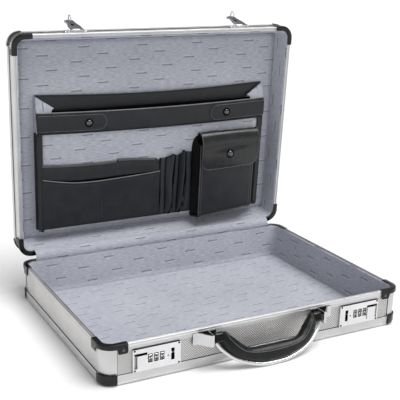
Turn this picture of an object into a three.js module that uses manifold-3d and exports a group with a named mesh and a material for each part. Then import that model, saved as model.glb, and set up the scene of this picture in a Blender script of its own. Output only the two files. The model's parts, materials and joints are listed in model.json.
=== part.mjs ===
// Aluminium attache case, standing open on its base.
// Millimetres, +Z up. The origin is the middle of the base's underside, +X runs to the right
// along the case's length, and -Y is the front, with the locks and the handle.

import * as THREE from "three";
import { mergeVertices } from "three/addons/utils/BufferGeometryUtils.js";
import Module from "manifold-3d";

const wasm = await Module();
wasm.setup();

// ---- Driving dimensions ----
const degrees = THREE.MathUtils.degToRad;

const LENGTH = 450; // case, left to right
const DEPTH = 325; // case, front to back
const BASE_HEIGHT = 55; // base shell, underside to rim
const LID_HEIGHT = 33; // lid shell, outer face to rim
const CORNER_RADIUS = 18;
const GAP = 0.3; // between pieces that touch
const RIM_GAP = 0.5; // between the two rims when shut

// Shells: aluminium profiles along the rim and the outer edge, panels between them.
const SKIN = 1; // wall of a profile
const RIM_BAND = 9.5; // outside height of the rim profile
const RIM_WIDTH = 5.6; // rim profile, outer to inner face
const RIM_INSIDE = 6; // height of its inner leg
const CAP_FLANGE = 0.8; // plastic over the rim at a corner
const RIM_DROP = CAP_FLANGE + GAP; // rim profile's face, below the caps' faces
const BASE_EDGE_BAND = 13; // outside height of the base's edge profile
const LID_EDGE_BAND = 9; // and of the lid's
const EDGE_FLANGE = 8; // edge profile, width over the outer face
const EDGE_FLANGE_THICKNESS = 1.2;
const WALL_INSET = SKIN + GAP; // outer face of the wall panels
const WALL_THICKNESS = 3;
const PANEL_THICKNESS = 2.6; // base's bottom and lid's top

const LINING = {
  inset: 10.3, // outside of the upright part
  wall: 1.7,
  floor: 5, // lined floor's height over the outer face
  belowRim: 3.5,
  flange: 2.5,
};

// Corner caps
const CAP_WALL = 1.3;
const RIM_CAP = { reach: 33, tabFrom: 19, tabDepth: 14, bandDepth: 9 };
const EDGE_CAP = { reach: 19.5, overBand: 1 };

// Hinge, with its axis behind the back wall and above the base's rim
const HINGE_BEHIND = 3.2;
const HINGE_ABOVE = 1.5;
const LID_OPEN = degrees(86.6); // from shut
const HINGE = { length: 370, knuckles: 9, radius: 2.4, bore: 1.3, pin: 0.95, leaf: 11, space: 0.25 };

// Locks: x from the case's middle, heights from its underside, depths from its front face
const LOCK = { near: 121.5, far: 186.5, low: 13.6, high: 43.6, proud: 1.4, back: 0.9 };
const LOCK_CUTOUT = { near: 126, far: 181, low: 17.2, high: 40.5 }; // in the front panel
const DIAL = { radius: 6.3, bore: 1.5, width: 5.4, pitch: 8, first: 147.2, inset: 3.2, height: 29 };
const DIAL_WINDOW = { halfHeight: 5.9, side: 0.4 };
const AXLE = { radius: 1.1, ear: 1, earBack: 5, earHalf: 2 };
const SLOT = { middle: 132.6, width: 4.6, low: 20.5, high: 36.5 };
const BUTTON = { near: 167.6, far: 180.9, low: 18, high: 35, proud: 2.8, back: 0.6 };
const BUTTON_WINDOW = { side: 0.4, above: 2.6 };
const SLIDER_TRAVEL = 3.2;
const STRIP = { near: 136.8, far: 176, front: 1.3, back: 2.6, high: 20.4 };
const STEM = { near: 169.1, far: 175.9, high: 21 };
const BOLT = { thickness: 2, past: 1.8, low: 27.4, high: 29.6, front: 3, back: 5 };

// Hasps: a plate on the lid's front wall, and a flap whose eye enters the lock's slot
const HASP = { width: 20, length: 36, sheet: 1.4, pinProud: 3.8, pinFromRim: 3.5, drop: 1.7 };
const HASP_FOOT = { half: 19, front: 1.5, low: 1.5, high: 19 };
const HASP_EAR = { space: 0.4, width: 2.2, radius: 2, reach: 1.9, back: 1 };
const HASP_KNUCKLE = { radius: 1.9, bore: 1.2, pin: 0.9 };
const EYE = { offset: 0.2, half: 0.8, back: 7, low: 23, high: 34.4 };
const EYE_HOLE = { front: 1.8, back: 5.8, low: 25.6, high: 31.6 };
const LIP = { half: 7, reach: 3, thickness: 1.3 };
const HASP_FOLD = degrees(168); // from shut to folded back

// Handle: pivots in front of the wall, hangs down until its edge is just clear of the table
const HANDLE = { proud: 11, height: 42, reach: 46, tilt: degrees(29.5) };
const FRAME_THICKNESS = 2.7;
const FRAME_OUTLINE = {
  arm: [[-80.5, 6], [-80.5, -7], [-62, -26.5]],
  bow: { halfWidth: 47, sideDrop: 39, middleDrop: HANDLE.reach },
  inner: [[-64, 6], [-49, -7], [-37, -19]],
};
const FRAME_END = { near: 72, far: 80.5, below: 4, above: 6, half: 4 };
const STUB = { radius: 1.9, end: 87 };
const GRIP = { core: 5, round: 3 };
const GRIP_OUTLINE = {
  arm: [[-69, 6], [-71, -10], [-58, -25]],
  bow: { halfWidth: 45, sideDrop: 34.5, middleDrop: 41 },
  inner: [[-62.5, 6], [-50.5, -5], [-37, -20.5]],
};
const BRACKET = { tip: 84, root: 100, tab: 72, proud: 17, low: 33.5, high: 49.5, sheet: 1.2 };
const BRACKET_BACK = 0.4; // in front of the case's front face
const PIVOT_HOLE = 2.4;

// Organiser: x to the right, y up the open lid from its middle, z out from its outer face
const POCKET = { half: 190, low: -132, high: 47, band: 72, back: 5.3, front: 19 };
const POCKET_WALL = 2;
const POCKET_SHEET = 1.5;
const CARDS = { left: -186, right: 1, low: -128, middle: -58, high: -31, thin: 2.2, thick: 4.7 };
const LOOPS = { count: 3, left: 4, pitch: 19, low: -135, high: -25, depth: 11.5, sheet: 1, space: 1.2 };
const PHONE = { left: 68, right: 182, low: -139, high: -10, front: 38 };
const FLAP = { left: 69, right: 178, low: -58, sheet: 1.8, space: 0.7, back: 20 };
const FLAP_HINGE = { y: -1, half: 1.5 };

const HALF_LENGTH = LENGTH / 2;
const HALF_DEPTH = DEPTH / 2;
const FRONT = -HALF_DEPTH;
const HINGE_Y = HALF_DEPTH + HINGE_BEHIND;
const HINGE_Z = BASE_HEIGHT + HINGE_ABOVE;

// ---- Finishes ----
const finish = (color, roughness, metalness) => ({ color, roughness, metalness });
const FINISHES = {
  profileAluminium: finish(0xd9dadc, 0.3, 0.95),
  patternedAluminium: finish(0xbdbdbb, 0.45, 0.9),
  satinChrome: finish(0xdcdcde, 0.25, 1),
  chrome: finish(0xe6e7ea, 0.12, 1),
  steel: finish(0xb0b2b6, 0.35, 0.9),
  blackPlastic: finish(0x232321, 0.45, 0),
  blackLeather: finish(0x2e2f33, 0.6, 0),
  greyFabric: finish(0x9c9eab, 0.9, 0),
};

// ---- Solids ----
function solid(geometry) {
  geometry.deleteAttribute("normal");
  geometry.deleteAttribute("uv");
  const merged = mergeVertices(geometry, 1e-4);
  const triVerts = new Uint32Array(merged.index.array);
  const vertProperties = merged.attributes.position.array;
  return new wasm.Manifold(new wasm.Mesh({ numProp: 3, vertProperties, triVerts }));
}

function mesh(name, shape, look) {
  const data = shape.getMesh();
  const geometry = new THREE.BufferGeometry();
  geometry.setAttribute("position", new THREE.BufferAttribute(data.vertProperties, 3));
  geometry.setIndex(new THREE.BufferAttribute(data.triVerts, 1));
  geometry.computeVertexNormals();
  const made = new THREE.Mesh(geometry, new THREE.MeshStandardMaterial(look));
  made.name = name;
  return made;
}

const joined = (...shapes) => shapes.reduce((a, b) => a.add(b));

function block(x0, x1, y0, y1, z0, z1) {
  const size = [Math.abs(x1 - x0), Math.abs(y1 - y0), Math.abs(z1 - z0)];
  const geometry = new THREE.BoxGeometry(...size);
  return solid(geometry.translate((x0 + x1) / 2, (y0 + y1) / 2, (z0 + z1) / 2));
}

function roundedRectangle(path, halfX, halfY, radius) {
  const [x, y] = [halfX - radius, halfY - radius];
  const quarter = Math.PI / 2;
  path.moveTo(halfX, -y);
  path.absarc(x, y, radius, 0, quarter);
  path.absarc(-x, y, radius, quarter, 2 * quarter);
  path.absarc(-x, -y, radius, 2 * quarter, 3 * quarter);
  path.absarc(x, -y, radius, 3 * quarter, 4 * quarter);
  return path;
}

const SHARPEST_CORNER = 2;

const insetOutline = (path, inset) =>
  roundedRectangle(
    path,
    HALF_LENGTH - inset,
    HALF_DEPTH - inset,
    Math.max(CORNER_RADIUS - inset, SHARPEST_CORNER),
  );

function raised(shape, z0, z1) {
  const settings = { depth: z1 - z0, bevelEnabled: false, curveSegments: 4 };
  return new THREE.ExtrudeGeometry(shape, settings).translate(0, 0, z0);
}

// The case's whole outline, moved in by inset, as a plate between two heights.
const slab = (inset, z0, z1) => solid(raised(insetOutline(new THREE.Shape(), inset), z0, z1));

// The same outline as a frame between two insets.
function frame(outer, inner, z0, z1) {
  const shape = insetOutline(new THREE.Shape(), outer);
  shape.holes.push(insetOutline(new THREE.Path(), inner));
  return solid(raised(shape, z0, z1));
}

// A rod or a sleeve along X, at a place in y and z.
function rodAlongX(radius, x0, x1, y, z, { bore = 0, sides = 14 } = {}) {
  const length = Math.abs(x1 - x0);
  const points = [
    [bore, 0],
    [radius, 0],
    [radius, length],
    [bore, length],
  ];
  if (bore) points.push([bore, 0]);
  const profile = points.map(([r, h]) => new THREE.Vector2(r, h));
  const geometry = new THREE.LatheGeometry(profile, sides);
  return solid(geometry.rotateZ(-Math.PI / 2).translate(Math.min(x0, x1), y, z));
}

// Depths in front of the case's front face; what is behind it has a negative depth.
const inFront = (distance) => FRONT - distance;

// A box on the front, drawn for the right side (s = 1) and mirrored for the left (s = -1).
const frontBlock = (s, x0, x1, front, back, z0, z1) =>
  block(s * x0, s * x1, inFront(front), inFront(back), z0, z1);

// ---- The two shells ----
// Both are drawn with the outer face at z = 0 and the rim at z = height.

// The box around one corner, out to a reach along both walls.
function cornerZone(sx, sy, reach, z0, z1) {
  const outside = 5;
  return block(
    sx * (HALF_LENGTH - reach),
    sx * (HALF_LENGTH + outside),
    sy * (HALF_DEPTH - reach),
    sy * (HALF_DEPTH + outside),
    z0,
    z1,
  );
}

// Name, side, and whether it is towards the front.
const CORNERS = [
  ["front_left", -1, 1],
  ["front_right", 1, 1],
  ["back_left", -1, -1],
  ["back_right", 1, -1],
];

// U-shaped rim extrusion that holds the top of the wall panels.
function rimProfile(height) {
  const top = height - RIM_DROP;
  const outside = frame(0, SKIN, top - RIM_BAND, top);
  const face = frame(0, RIM_WIDTH, top - SKIN, top);
  const inside = frame(RIM_WIDTH - SKIN, RIM_WIDTH, top - RIM_INSIDE, top);
  return joined(outside, face, inside);
}

// L-shaped extrusion around the outer face.
const edgeProfile = (band) =>
  joined(frame(0, SKIN, 0, band), frame(0, EDGE_FLANGE, 0, EDGE_FLANGE_THICKNESS));

const outerPanel = () => slab(EDGE_FLANGE + GAP, 0, PANEL_THICKNESS);

const walls = (height) =>
  frame(
    WALL_INSET,
    WALL_INSET + WALL_THICKNESS,
    EDGE_FLANGE_THICKNESS + GAP,
    height - RIM_DROP - SKIN - GAP,
  );

// Plastic corner over the rim: a band round the corner, a deeper tab on each wall, and a
// flange over the rim's face.
function rimCap(sx, sy, height) {
  const outside = -GAP - CAP_WALL;
  const tabs = frame(outside, -GAP, height - RIM_CAP.tabDepth, height);
  const flange = frame(outside, RIM_WIDTH, height - CAP_FLANGE, height);
  const underBand = cornerZone(sx, sy, RIM_CAP.tabFrom, 0, height - RIM_CAP.bandDepth);
  return joined(tabs, flange)
    .intersect(cornerZone(sx, sy, RIM_CAP.reach, 0, height + 1))
    .subtract(underBand);
}

function edgeCap(sx, sy, band) {
  const top = band + EDGE_CAP.overBand;
  const around = frame(-GAP - CAP_WALL, -GAP, 0, top);
  return around.intersect(cornerZone(sx, sy, EDGE_CAP.reach, -1, top + 1));
}

// Fabric-covered tray: floor, upright walls and a flange out to the rim profile.
function lining(height) {
  const low = PANEL_THICKNESS + GAP;
  const top = height - LINING.belowRim;
  const inner = LINING.inset + LINING.wall;
  const floor = slab(LINING.inset, low, LINING.floor);
  const upright = frame(LINING.inset, inner, low, top);
  const flange = frame(RIM_WIDTH + GAP, inner, top - LINING.flange, top);
  return joined(floor, upright, flange);
}

// frontSign is -1 where the shell's front is towards -y, and 1 where it is towards +y.
function caps(half, height, band, edgeName, frontSign) {
  const made = [];
  for (const [corner, sx, toFront] of CORNERS) {
    const sy = toFront * frontSign;
    const rim = rimCap(sx, sy, height);
    const edge = edgeCap(sx, sy, band);
    made.push(mesh(`${half}_rim_cap_${corner}`, rim, FINISHES.blackPlastic));
    made.push(mesh(`${half}_${edgeName}_cap_${corner}`, edge, FINISHES.blackPlastic));
  }
  return made;
}

// ---- Locks ----
function lockCutout(s) {
  const { near, far, low, high } = LOCK_CUTOUT;
  return frontBlock(s, near, far, 1, -WALL_INSET - WALL_THICKNESS - 1, low, high);
}

const dialMiddle = (index) => DIAL.first + index * DIAL.pitch;

// The openings in a lock plate, each as near and far x, low and high z.
function lockWindows() {
  const slot = [SLOT.middle - SLOT.width / 2, SLOT.middle + SLOT.width / 2, SLOT.low, SLOT.high];
  const button = [
    BUTTON.near - BUTTON_WINDOW.side,
    BUTTON.far + SLIDER_TRAVEL + BUTTON_WINDOW.side,
    BUTTON.low - BUTTON_WINDOW.side,
    BUTTON.high + BUTTON_WINDOW.above,
  ];
  const halfWidth = DIAL.width / 2 + DIAL_WINDOW.side;
  const dials = [0, 1, 2].map((i) => [
    dialMiddle(i) - halfWidth,
    dialMiddle(i) + halfWidth,
    DIAL.height - DIAL_WINDOW.halfHeight,
    DIAL.height + DIAL_WINDOW.halfHeight,
  ]);
  return [slot, button, ...dials];
}

// Face plate, with the dials' axle held between two ears behind it.
function lockPlate(s) {
  let plate = frontBlock(s, LOCK.near, LOCK.far, LOCK.proud, -LOCK.back, LOCK.low, LOCK.high);
  for (const [x0, x1, z0, z1] of lockWindows()) {
    plate = plate.subtract(frontBlock(s, x0, x1, LOCK.proud + 1, -LOCK.back - 1, z0, z1));
  }
  const half = DIAL.width / 2 + DIAL_WINDOW.side;
  const nearEar = dialMiddle(0) - half - AXLE.ear;
  const farEar = dialMiddle(2) + half;
  const ear = (x) =>
    frontBlock(
      s,
      x,
      x + AXLE.ear,
      -LOCK.back / 2,
      -AXLE.earBack,
      DIAL.height - AXLE.earHalf,
      DIAL.height + AXLE.earHalf,
    );
  const axle = rodAlongX(
    AXLE.radius,
    s * nearEar,
    s * (farEar + AXLE.ear),
    inFront(-DIAL.inset),
    DIAL.height,
    { sides: 12 },
  );
  return joined(plate, axle, ear(nearEar), ear(farEar));
}

function dial(s, index) {
  const x0 = s * (dialMiddle(index) - DIAL.width / 2);
  const x1 = s * (dialMiddle(index) + DIAL.width / 2);
  const y = inFront(-DIAL.inset);
  return rodAlongX(DIAL.radius, x0, x1, y, DIAL.height, { bore: DIAL.bore, sides: 20 });
}

// Thumb button, the strip behind the plate, and the bolt that passes through the hasp's eye.
function lockSlider(s) {
  const { near, far, low, high, proud, back } = BUTTON;
  const riserFar = STRIP.near + BOLT.thickness;
  const boltEnd = SLOT.middle - BOLT.past;
  return joined(
    frontBlock(s, near, far, proud, -back, low, high),
    frontBlock(s, STEM.near, STEM.far, 0, -STRIP.back, low, STEM.high),
    frontBlock(s, STRIP.near, STRIP.far, -STRIP.front, -STRIP.back, low, STRIP.high),
    frontBlock(s, STRIP.near, riserFar, -STRIP.front, -BOLT.back, low, BOLT.high),
    frontBlock(s, boltEnd, riserFar, -BOLT.front, -BOLT.back, BOLT.low, BOLT.high),
  );
}

// ---- Hasps ----
// Drawn with the lid shut, in the case's own frame: the flap hangs over the lock's slot.
const LID_RIM = BASE_HEIGHT + RIM_GAP;
const HASP_PIN_Y = inFront(HASP.pinProud);
const HASP_PIN_Z = LID_RIM + HASP.pinFromRim;

// Foot on the wall, two ears and the pin between them.
function haspPlate(s) {
  const x = s * SLOT.middle;
  const { half, front, low, high } = HASP_FOOT;
  const foot = block(
    x - half,
    x + half,
    inFront(front),
    inFront(GAP),
    LID_RIM + low,
    LID_RIM + high,
  );
  const ears = [-1, 1].map((side) => {
    const inner = x + side * (HASP.width / 2 + HASP_EAR.space);
    const outer = inner + side * HASP_EAR.width;
    const { radius, reach, back } = HASP_EAR;
    return joined(
      rodAlongX(radius, inner, outer, HASP_PIN_Y, HASP_PIN_Z),
      block(inner, outer, HASP_PIN_Y, inFront(back), HASP_PIN_Z - reach, HASP_PIN_Z + reach),
    );
  });
  const pinHalf = HASP.width / 2 + 1;
  const ends = [x - pinHalf, x + pinHalf];
  const pin = rodAlongX(HASP_KNUCKLE.pin, ...ends, HASP_PIN_Y, HASP_PIN_Z, { sides: 12 });
  return joined(foot, ...ears, pin);
}

// Flap with its rolled knuckle, the eye that enters the slot, and a finger lip.
function haspFlap(s) {
  const x = s * SLOT.middle;
  const half = HASP.width / 2;
  const back = inFront(HASP.pinProud - HASP.drop);
  const front = back - HASP.sheet;
  const low = HASP_PIN_Z - HASP.length;
  const { radius, bore } = HASP_KNUCKLE;
  const eyeX = x + s * EYE.offset;
  const leaf = block(x - half, x + half, front, back, low, HASP_PIN_Z);
  const knuckle = rodAlongX(radius, x - half, x + half, HASP_PIN_Y, HASP_PIN_Z, { sides: 16 });
  const eye = block(
    eyeX - EYE.half,
    eyeX + EYE.half,
    front + HASP.sheet / 2,
    inFront(-EYE.back),
    EYE.low,
    EYE.high,
  );
  const lip = block(x - LIP.half, x + LIP.half, front - LIP.reach, back, low, low + LIP.thickness);
  const pinBore = rodAlongX(bore, x - half - 1, x + half + 1, HASP_PIN_Y, HASP_PIN_Z, { sides: 12 });
  const hole = block(
    eyeX - 2 * EYE.half,
    eyeX + 2 * EYE.half,
    inFront(-EYE_HOLE.front),
    inFront(-EYE_HOLE.back),
    EYE_HOLE.low,
    EYE_HOLE.high,
  );
  return joined(leaf, knuckle, eye, lip).subtract(pinBore).subtract(hole);
}

// ---- Handle ----
// Drawn hanging from its pivot axis: x across, y up, z out from the wall.
const mirrored = (points) => [...points, ...points.map(([x, y]) => [-x, y]).reverse()];

// A closed outline from the left halves of its arm, its bowed lower edge and its inner edge.
function handleOutline({ arm, bow, inner }) {
  const shape = new THREE.Shape();
  const outer = [...arm, ...bowed(bow)];
  const points = [...mirrored(outer), ...mirrored(inner).reverse()];
  points.forEach(([x, y], i) => (i ? shape.lineTo(x, y) : shape.moveTo(x, y)));
  return shape;
}

// A bowed lower edge, from a side point to the middle.
function bowed({ halfWidth, sideDrop, middleDrop }) {
  const steps = 4;
  const bulge = 2.4;
  return Array.from({ length: steps }, (_, i) => {
    const side = 1 - i / steps;
    return [-halfWidth * side, -(middleDrop - (middleDrop - sideDrop) * side ** bulge)];
  });
}

// Flat U-shaped frame, with a block and a pivot stub at each end.
function handleFrame() {
  const outline = handleOutline(FRAME_OUTLINE);
  const plate = solid(raised(outline, -GAP - FRAME_THICKNESS, -GAP));
  const { near, far, below, above, half } = FRAME_END;
  const ends = [-1, 1].map((side) =>
    joined(
      block(side * near, side * far, -below, above, -half, half),
      rodAlongX(STUB.radius, side * (far - 1), side * STUB.end, 0, 0),
    ),
  );
  return joined(plate, ...ends);
}

// Padded cover over the frame's front.
function handleGrip() {
  const { core, round } = GRIP;
  const bevel = { bevelThickness: round, bevelSize: round, bevelOffset: -round, bevelSegments: 2 };
  const outline = handleOutline(GRIP_OUTLINE);
  const geometry = new THREE.ExtrudeGeometry(outline, { depth: core, ...bevel });
  return solid(geometry.translate(0, 0, round));
}

// Folded strip: a ramp out from the wall, a cheek back to it for the pivot, and two tabs.
function handleBracket(s) {
  const { tip, root, tab, proud, low, high, sheet } = BRACKET;
  const back = BRACKET_BACK;
  const fold = proud - 2 * sheet;
  const outline = [
    [root + 5, back],
    [root - 2, back],
    [tip + 2, fold],
    [tip, fold],
    [tip, back],
    [tab, back],
    [tab, back + sheet],
    [tip - sheet, back + sheet],
    [tip - sheet, proud],
    [tip + 3, proud],
    [root - 1, back + sheet],
    [root + 5, back + sheet],
  ];
  const shape = new THREE.Shape();
  outline.forEach(([x, front], i) => {
    const place = [s * x, inFront(front)];
    return i ? shape.lineTo(...place) : shape.moveTo(...place);
  });
  const pivotY = inFront(HANDLE.proud);
  const hole = rodAlongX(PIVOT_HOLE, s * (tip - 3), s * (tip + 2), pivotY, HANDLE.height);
  return solid(raised(shape, low, high)).subtract(hole);
}

// ---- Hinge ----
// One leaf with every second knuckle. up is 1 for the lid's leaf and -1 for the base's.
function hingeLeaf(first, up) {
  const half = HINGE.length / 2;
  const pitch = HINGE.length / HINGE.knuckles;
  const face = [HALF_DEPTH + GAP, HALF_DEPTH + GAP + SKIN];
  const start = HINGE.radius + GAP;
  let leaf = block(-half, half, ...face, HINGE_Z + up * start, HINGE_Z + up * HINGE.leaf);
  for (let i = first; i < HINGE.knuckles; i += 2) {
    const x0 = -half + i * pitch + HINGE.space;
    const x1 = -half + (i + 1) * pitch - HINGE.space;
    const web = block(x0, x1, ...face, HINGE_Z, HINGE_Z + up * (start + 1));
    leaf = joined(leaf, web, rodAlongX(HINGE.radius, x0, x1, HINGE_Y, HINGE_Z));
  }
  return leaf.subtract(
    rodAlongX(HINGE.bore, -half - 1, half + 1, HINGE_Y, HINGE_Z, { sides: 12 }),
  );
}

function hingePin() {
  const half = HINGE.length / 2 + 1;
  return rodAlongX(HINGE.pin, -half, half, HINGE_Y, HINGE_Z, { sides: 12 });
}

// ---- Organiser on the lid's inside ----
// Expanding file pocket, open at its top: a tall back with sides and a bottom, and its front.
function filePocket() {
  const { half, low, high, band, back, front } = POCKET;
  const sheetFront = back + POCKET_SHEET;
  const sideFront = front - POCKET_WALL - GAP;
  const tall = block(-half, half, low, band, back, sheetFront);
  const whole = block(-half, half, low, high, back, sideFront);
  const inside = block(
    POCKET_WALL - half,
    half - POCKET_WALL,
    low + POCKET_WALL,
    high + 1,
    sheetFront,
    front,
  );
  return joined(whole.subtract(inside), tall);
}

function filePocketFront() {
  const { half, low, high, front } = POCKET;
  return block(-half, half, low, high, front - POCKET_WALL, front);
}

const ON_POCKET = POCKET.front + GAP;

// Two flat pockets, the lower one in front.
function cardPocket() {
  const { left, right, low, middle, high, thin, thick } = CARDS;
  return joined(
    block(left, right, low, high, ON_POCKET, ON_POCKET + thin),
    block(left, right, low, middle, ON_POCKET, ON_POCKET + thick),
  );
}

// A row of open-ended loops on a backing strip.
function penLoops() {
  const { count, left, pitch, low, high, depth, sheet, space } = LOOPS;
  let made = block(left, left + count * pitch, low, high, ON_POCKET, ON_POCKET + sheet);
  for (let i = 0; i < count; i++) {
    const x0 = left + i * pitch;
    const x1 = x0 + pitch - space;
    const outer = block(x0, x1, low, high, ON_POCKET, ON_POCKET + depth);
    const inner = block(
      x0 + sheet,
      x1 - sheet,
      low - 1,
      high + 1,
      ON_POCKET + sheet,
      ON_POCKET + depth - sheet,
    );
    made = made.add(outer.subtract(inner));
  }
  return made;
}

function phonePocket() {
  const { left, right, low, high, front } = PHONE;
  const whole = block(left, right, low, high, ON_POCKET, front);
  const inside = block(
    left + POCKET_WALL,
    right - POCKET_WALL,
    low + POCKET_WALL,
    high + 1,
    ON_POCKET + POCKET_SHEET,
    front - POCKET_SHEET,
  );
  return whole.subtract(inside);
}

// Leather flap: a strip over the pocket's mouth, then the front.
function phoneFlap() {
  const { left, right, low, sheet, space, back } = FLAP;
  const top = FLAP_HINGE.y + FLAP_HINGE.half;
  const face = PHONE.front + space;
  return joined(
    block(left, right, FLAP_HINGE.y - FLAP_HINGE.half, top, back, face + sheet),
    block(left, right, low, top, face, face + sheet),
  );
}

// ---- Assembly ----
// The part of the base's walls on one side, clear of the corner posts.
function sidePanel(ring, sideX, sideY) {
  const along = HALF_LENGTH - CORNER_RADIUS - GAP / 2;
  const across = HALF_DEPTH - CORNER_RADIUS - GAP / 2;
  const x = sideX ? [sideX * along, sideX * HALF_LENGTH] : [-along, along];
  const y = sideY ? [sideY * across, sideY * HALF_DEPTH] : [-across, across];
  return ring.intersect(block(...x, ...y, 0, BASE_HEIGHT));
}

function basePieces() {
  const look = FINISHES;
  const ring = walls(BASE_HEIGHT);
  const cutouts = joined(lockCutout(-1), lockCutout(1));
  const front = sidePanel(ring, 0, -1).subtract(cutouts);
  const made = [
    mesh("base_bottom_panel", outerPanel(), look.patternedAluminium),
    mesh("base_front_panel", front, look.patternedAluminium),
    mesh("base_back_panel", sidePanel(ring, 0, 1), look.patternedAluminium),
    mesh("base_left_panel", sidePanel(ring, -1, 0), look.patternedAluminium),
    mesh("base_right_panel", sidePanel(ring, 1, 0), look.patternedAluminium),
    mesh("base_rim_profile", rimProfile(BASE_HEIGHT), look.profileAluminium),
    mesh("base_edge_profile", edgeProfile(BASE_EDGE_BAND), look.profileAluminium),
    mesh("base_lining", lining(BASE_HEIGHT), look.greyFabric),
    mesh("hinge_base_leaf", hingeLeaf(0, -1), look.steel),
    mesh("hinge_pin", hingePin(), look.steel),
  ];
  for (const [corner, sx, toFront] of CORNERS) {
    const zone = cornerZone(sx, -toFront, CORNER_RADIUS - GAP / 2, 0, BASE_HEIGHT);
    made.push(mesh(`base_corner_post_${corner}`, ring.intersect(zone), look.profileAluminium));
  }
  return [...made, ...caps("base", BASE_HEIGHT, BASE_EDGE_BAND, "foot", -1)];
}

const SIDES = [["left", -1], ["right", 1]];

function lockPieces() {
  const made = [];
  for (const [side, s] of SIDES) {
    made.push(mesh(`lock_plate_${side}`, lockPlate(s), FINISHES.satinChrome));
    made.push(mesh(`lock_slider_${side}`, lockSlider(s), FINISHES.satinChrome));
    made.push(mesh(`handle_bracket_${side}`, handleBracket(s), FINISHES.chrome));
    for (let i = 0; i < 3; i++) {
      made.push(mesh(`lock_dial_${side}_${i + 1}`, dial(s, i), FINISHES.chrome));
    }
  }
  return made;
}

function handlePieces() {
  const handle = new THREE.Group();
  handle.add(mesh("handle_frame", handleFrame(), FINISHES.profileAluminium));
  handle.add(mesh("handle_grip", handleGrip(), FINISHES.blackLeather));
  handle.position.set(0, inFront(HANDLE.proud), HANDLE.height);
  handle.rotation.x = Math.PI / 2 - HANDLE.tilt;
  return handle;
}

// A group turned about an axis along X, for meshes drawn before the turn.
function turned(y, z, angle, ...children) {
  const group = new THREE.Group();
  const before = new THREE.Group();
  before.add(...children);
  before.position.set(0, -y, -z);
  group.add(before);
  group.position.set(0, y, z);
  group.rotation.x = angle;
  return group;
}

// The hasps and the lid's hinge leaf, drawn shut and swung open about the hinge.
function lidFittings() {
  const shut = [mesh("hinge_lid_leaf", hingeLeaf(1, 1), FINISHES.steel)];
  for (const [side, s] of SIDES) {
    const flap = mesh(`hasp_flap_${side}`, haspFlap(s), FINISHES.chrome);
    shut.push(mesh(`hasp_plate_${side}`, haspPlate(s), FINISHES.chrome));
    shut.push(turned(HASP_PIN_Y, HASP_PIN_Z, -HASP_FOLD, flap));
  }
  return turned(HINGE_Y, HINGE_Z, -LID_OPEN, ...shut);
}

// The lid's shell and its organiser, in the lid's own frame: y up the open lid.
function lidShell() {
  const look = FINISHES;
  const shell = new THREE.Group();
  shell.add(
    mesh("lid_panel", outerPanel(), look.patternedAluminium),
    mesh("lid_wall", walls(LID_HEIGHT), look.patternedAluminium),
    mesh("lid_rim_profile", rimProfile(LID_HEIGHT), look.profileAluminium),
    mesh("lid_edge_profile", edgeProfile(LID_EDGE_BAND), look.profileAluminium),
    mesh("lid_lining", lining(LID_HEIGHT), look.greyFabric),
    mesh("file_pocket", filePocket(), look.greyFabric),
    mesh("file_pocket_front", filePocketFront(), look.greyFabric),
    mesh("card_pocket", cardPocket(), look.blackLeather),
    mesh("pen_loops", penLoops(), look.blackLeather),
    mesh("phone_pocket", phonePocket(), look.blackLeather),
    mesh("phone_flap", phoneFlap(), look.blackLeather),
    ...caps("lid", LID_HEIGHT, LID_EDGE_BAND, "edge", 1),
  );
  shell.position.set(0, HALF_DEPTH + HINGE_BEHIND, HINGE_ABOVE - RIM_GAP - LID_HEIGHT);
  const hinge = new THREE.Group();
  hinge.add(shell);
  hinge.position.set(0, HINGE_Y, HINGE_Z);
  hinge.rotation.x = Math.PI - LID_OPEN;
  return hinge;
}

const attacheCase = new THREE.Group();
attacheCase.add(...basePieces(), ...lockPieces(), handlePieces(), lidFittings(), lidShell());

export default attacheCase;
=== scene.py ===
"""Looks of the aluminium attache case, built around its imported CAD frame.

Shapes are written in millimetres in the frame of the base or of the lid's shell, and are turned into
metres in the row frame when their mesh is made.
"""

import json
import math

import bmesh
import bpy
from mathutils import Matrix, Vector


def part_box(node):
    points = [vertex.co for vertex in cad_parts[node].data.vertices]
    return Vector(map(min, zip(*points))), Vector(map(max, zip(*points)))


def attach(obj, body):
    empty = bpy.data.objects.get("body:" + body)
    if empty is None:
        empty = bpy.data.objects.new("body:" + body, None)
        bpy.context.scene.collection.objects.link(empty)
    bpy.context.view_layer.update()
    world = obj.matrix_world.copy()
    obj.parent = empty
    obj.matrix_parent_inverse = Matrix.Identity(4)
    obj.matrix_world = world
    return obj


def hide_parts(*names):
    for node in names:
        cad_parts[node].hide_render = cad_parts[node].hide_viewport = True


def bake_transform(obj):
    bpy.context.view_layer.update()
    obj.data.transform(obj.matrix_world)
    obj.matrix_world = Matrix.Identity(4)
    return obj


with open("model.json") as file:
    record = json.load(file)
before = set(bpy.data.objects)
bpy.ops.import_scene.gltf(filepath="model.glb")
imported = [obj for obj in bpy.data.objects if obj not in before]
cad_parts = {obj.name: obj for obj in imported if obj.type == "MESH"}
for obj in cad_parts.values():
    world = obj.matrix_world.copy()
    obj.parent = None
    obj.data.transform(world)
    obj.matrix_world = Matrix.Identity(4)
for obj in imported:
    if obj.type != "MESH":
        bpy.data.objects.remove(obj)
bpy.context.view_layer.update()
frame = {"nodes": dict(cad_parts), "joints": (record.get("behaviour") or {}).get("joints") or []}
MM = 0.001


def box_mm(node):
    """A CAD node's lowest and highest corner in mm."""
    return [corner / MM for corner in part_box(node)]


def joint(name):
    return next(j for j in frame["joints"] if j["name"] == name)


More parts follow.
